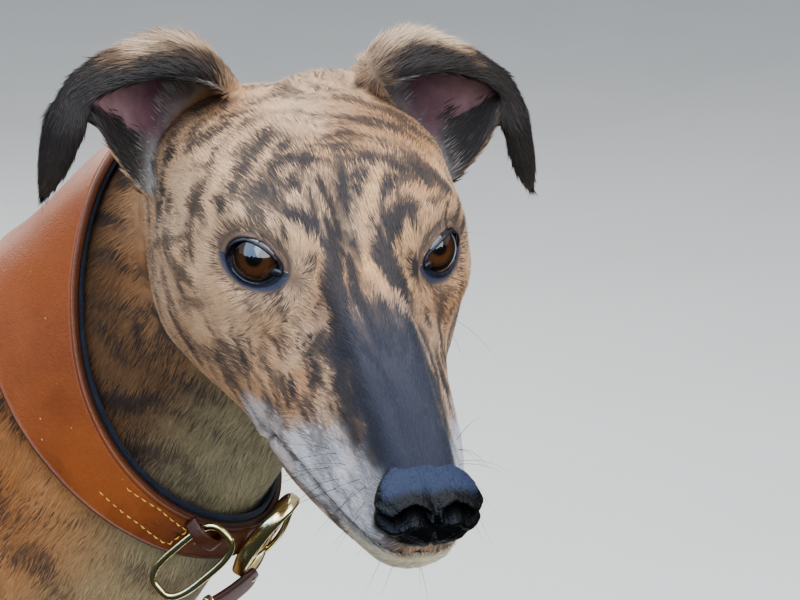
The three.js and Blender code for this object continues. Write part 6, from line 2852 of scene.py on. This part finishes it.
        # Each tuft is painted darker at its root, painted shade where the tufts cover one another, and a little
        # lighter at its tip.
        root_shade_tints = np.array([0.78, 0.97, 0.97, 1.1])[None, :, None]
        colours = np.clip(colour[:, None] * root_shade_tints, 0.0, 1.0).reshape(-1, 3)
        facing = np.stack([normals, *(unit(normals + lean) for lean in (0.7 * side, -0.7 * side, 0.25 * way))], 1)
        corners = np.array([[0.0, -0.5], [-0.5, 0.0], [0.5, 0.0], [0.0, 0.5]]) * self.patch
        unwrap = (spot.places.unwrap()[:, None] + corners).reshape(-1, 2)
        return Surface(points, faces), colours, facing.reshape(-1, 3), unwrap

    def make(self, skin: Surface, material: Material) -> None:
        """Grows the coat and places it in pieces, from the head back.

        Args:
            skin: the finished skin.
            material: the tufts' finish.
        """
        random = np.random.default_rng(SEED)
        normals = skin.normals()
        roots, facing = self.roots(skin, normals, random)
        spot = Spot.of(roots)
        order = spot.places.weight.argmax(1)
        for k, word in enumerate(BODY.names):
            held = np.nonzero(order == k)[0]
            parts = max(1, math.ceil(len(held) / self.most))
            for number, some in enumerate(np.array_split(held, parts)):
                if len(some) < 3:
                    continue
                surface, colours, directions, unwrap = self.tufts(spot.picked(some), facing[some], random)
                name = f"coat_{word}_{number + 1}" if parts > 1 else f"coat_{word}"
                thing = piece(name, surface, material, (), {"Markings": colours})
                corners = unwrap[surface.faces.ravel()].astype(np.float32)
                thing.data.uv_layers.new(name="OFBake").uv.foreach_set("vector", corners.ravel())
                thing.data.normals_split_custom_set_from_vertices(directions.astype(np.float32))
        log.info("coat: %d tufts", len(roots))


FLESH = ("head", "lower_jaw", "neck_upper", "neck_lower", "chest", "loin", "croup", "tail_base", "tail_middle",
         "tail_tip")
SIDED_FLESH = ("ear", "foreleg_upper", "foreleg_lower", "forepaw", "thigh", "gaskin", "hind_cannon", "hind_paw")


@dataclass(frozen=True)
class Studio:
    """A pale floor, a large soft key before and above the animal, soft fill, and the camera at the photo's place."""

    camera_at: Triple = (-762.7, -913.5, 1052.9)
    towards: Triple = (-0.8397, -0.4465, 0.3090)
    right: Triple = (0.4695, -0.8829, 0.0)
    view_angle: float = 20.0
    lamp_away: float = 2.3
    curtain_near: float = 0.12
    curtain_away: float = 2.05

    def camera(self) -> None:
        """Places the camera with its axes as rows: right, up and towards it."""
        data = bpy.data.cameras.new("camera")
        data.sensor_fit = "HORIZONTAL"
        data.angle = math.radians(self.view_angle)
        data.clip_start = 0.05
        thing = placed("camera", data)
        towards = unit(np.array(self.towards))
        right = unit(np.array(self.right) - towards * (np.array(self.right) @ towards))
        up = np.cross(towards, right)
        at = (np.array(self.camera_at) + OFFSET) * METRE
        matrix = np.eye(4)
        matrix[:3, 0], matrix[:3, 1], matrix[:3, 2], matrix[:3, 3] = right, up, towards, at
        thing.matrix_world = Matrix(matrix.tolist())
        bpy.context.scene.camera = thing

    def lamp(self, name: str, at: Triple, aim: Triple,
             size: tuple[float, float], power: float, colour: Triple, lights: bool = True) -> None:
        """Places one soft rectangular lamp that points at a place, in metres; it may show in shiny pieces only.

        Args:
            name: its name.
            at: its place.
            aim: where it points.
            size: its width and height.
            power: its watts.
            colour: the colour of its light.
            lights: whether dull surfaces are lit by it too.
        """
        data = bpy.data.lights.new(name, "AREA")
        data.shape = "RECTANGLE"
        data.size, data.size_y = size
        data.energy = power
        data.color = colour
        thing = placed(name, data)
        thing.location = at
        thing.rotation_euler = (Vector(aim) - Vector(at)).to_track_quat("-Z", "Y").to_euler()
        thing.visible_diffuse = lights

    @staticmethod
    def prop(name: str, surface: Surface, finish: PlainFinish) -> bpy.types.Object:
        """A thing of the stage from a surface in metres.

        Args:
            name: its name.
            surface: its mesh.
            finish: its finish.

        Returns:
            The object.
        """
        mesh = plain_mesh(name, surface.points, surface.faces)
        mesh.materials.append(finish.material())
        thing = placed(name, mesh)
        return thing

    def curtain(self, head: Array) -> None:
        """Places dark cloth on the ground and hung round the front of the head, with an uneven upper edge.

        Only shiny pieces show it: it ends the light in them as grass and treetops end the sky. At the angle a its
        edge lies 9 + 7 noise(a) degrees above the head.

        Args:
            head: the middle between the eyes, in metres.
        """
        turn = np.radians(np.linspace(80.0, 350.0, 420))
        cells = np.stack([turn * 5.0, 0.0 * turn, 0.0 * turn], 1)
        high = head[2] + self.curtain_away * np.tan(np.radians(9.0 + 7.0 * mottle(cells, SEED + 61, 4)))
        out = np.stack([np.cos(turn), np.sin(turn), 0.0 * turn], 1)
        foot = np.array([head[0], head[1], 0.03])
        top, thick = np.array([0.0, 0.0, 1.0]) * high[:, None], np.array([0.0, 0.0, 0.01])
        near, bend, away, back = (out * reach for reach in (self.curtain_near, 2.0, self.curtain_away, 2.06))
        rings = np.stack([foot + near, foot + bend, foot + away + top, foot + back + top, foot + back - thick,
                          foot + near - thick], 1)
        thing = self.prop("curtain", closed_loft(rings), DARK_CLOTH)
        thing.visible_camera = thing.visible_diffuse = thing.visible_shadow = False

    def floor(self) -> None:
        """Places the floor, a plain sheet under the feet."""
        turn = turns(96)
        ring = np.stack([np.cos(turn), np.sin(turn), 0.0 * turn], 1)
        points = np.concatenate([[[0.0, 0.0, 0.0]], ring * 6.0])
        k = np.arange(96)
        faces = np.stack([np.zeros(96, int), 1 + k, 1 + (k + 1) % 96], 1)
        self.prop("floor", Surface(points, faces), PALE_FLOOR)

    def world(self) -> None:
        """Gives even grey-blue light from all round."""
        world = bpy.data.worlds.new("studio")
        world.use_nodes = True
        ground = world.node_tree.nodes["Background"]
        ground.inputs["Color"].default_value = (0.84, 0.88, 0.94, 1.0)
        ground.inputs["Strength"].default_value = 0.5
        bpy.context.scene.world = world

    def make(self) -> None:
        """Places everything of the studio."""
        self.floor()
        self.world()
        head = (EYES_AT + OFFSET) * METRE
        level = unit(np.array([-0.48, -0.88, 0.0]))
        slope = np.array([0.0, 0.0, math.tan(math.radians(40.0))])
        key = head + unit(level + slope) * self.lamp_away
        self.lamp("key", tuple(key), tuple(head), (4.2, 3.0), 126.0, (0.84, 0.92, 1.0))
        sky = head + unit(np.array([-0.966, 0.259, 0.0]) + slope) * self.lamp_away
        self.lamp("sky", tuple(sky), tuple(head), (3.4, 3.0), 90.0, (0.42, 0.68, 1.0), False)
        self.curtain(head)
        self.lamp("top", (0.3, 0.1, 2.9), (0.0, -0.2, 0.7), (2.4, 2.4), 60.0, (1.0, 0.99, 0.97))
        self.lamp("back", (1.4, 1.9, 1.7), (0.0, 0.2, 0.6), (1.8, 1.2), 24.0, (1.0, 0.98, 0.95))
        self.camera()
        view = bpy.context.scene.view_settings
        view.view_transform = "AgX"
        view.look = "AgX - Medium High Contrast"
        view.exposure = 0.05


def main() -> None:
    """Builds the scene in order and reports each piece."""
    logging.basicConfig(level=logging.INFO, format="%(message)s")
    wet = WET_SKIN.material()
    brass = BrassFinish().material()
    skin = Skin().build()
    spot = Spot.of(skin.points)
    painted = Markings().paint(spot)
    flow = spot.places.flow() * METRE
    nodes = FLESH + tuple(f"{word}_{side.word}" for word in SIDED_FLESH for side in Side)
    piece("skin", skin, SkinFinish().material(), nodes,
          {"Markings": painted.skin_colour(), "Bare": painted.bare, "Lie": flow})
    search = BVHTree.FromPolygons(HEAD_FRAME.into(skin.points).tolist(), skin.faces.tolist())
    eye = EyeFinish().material()
    for side in Side:
        Eye(side).make(eye, wet)
    NosePad().make(NoseFinish().material())
    Lips().make(search, wet)
    Whiskers().make(search, STIFF_HAIR.material())
    Claws().make(HornFinish().material())
    dark_leather = LeatherFinish("dark_leather", (84, 44, 36), (54, 26, 26), (84, 44, 36), 0.4).material()
    Collar().make(LeatherFinish("tan_leather").material(), dark_leather, LiningFinish().material(),
                  GOLD_THREAD.material(), brass)
    Coat().make(skin, TuftFinish().material())
    Studio().make()


if __name__ == "__main__":
    main()
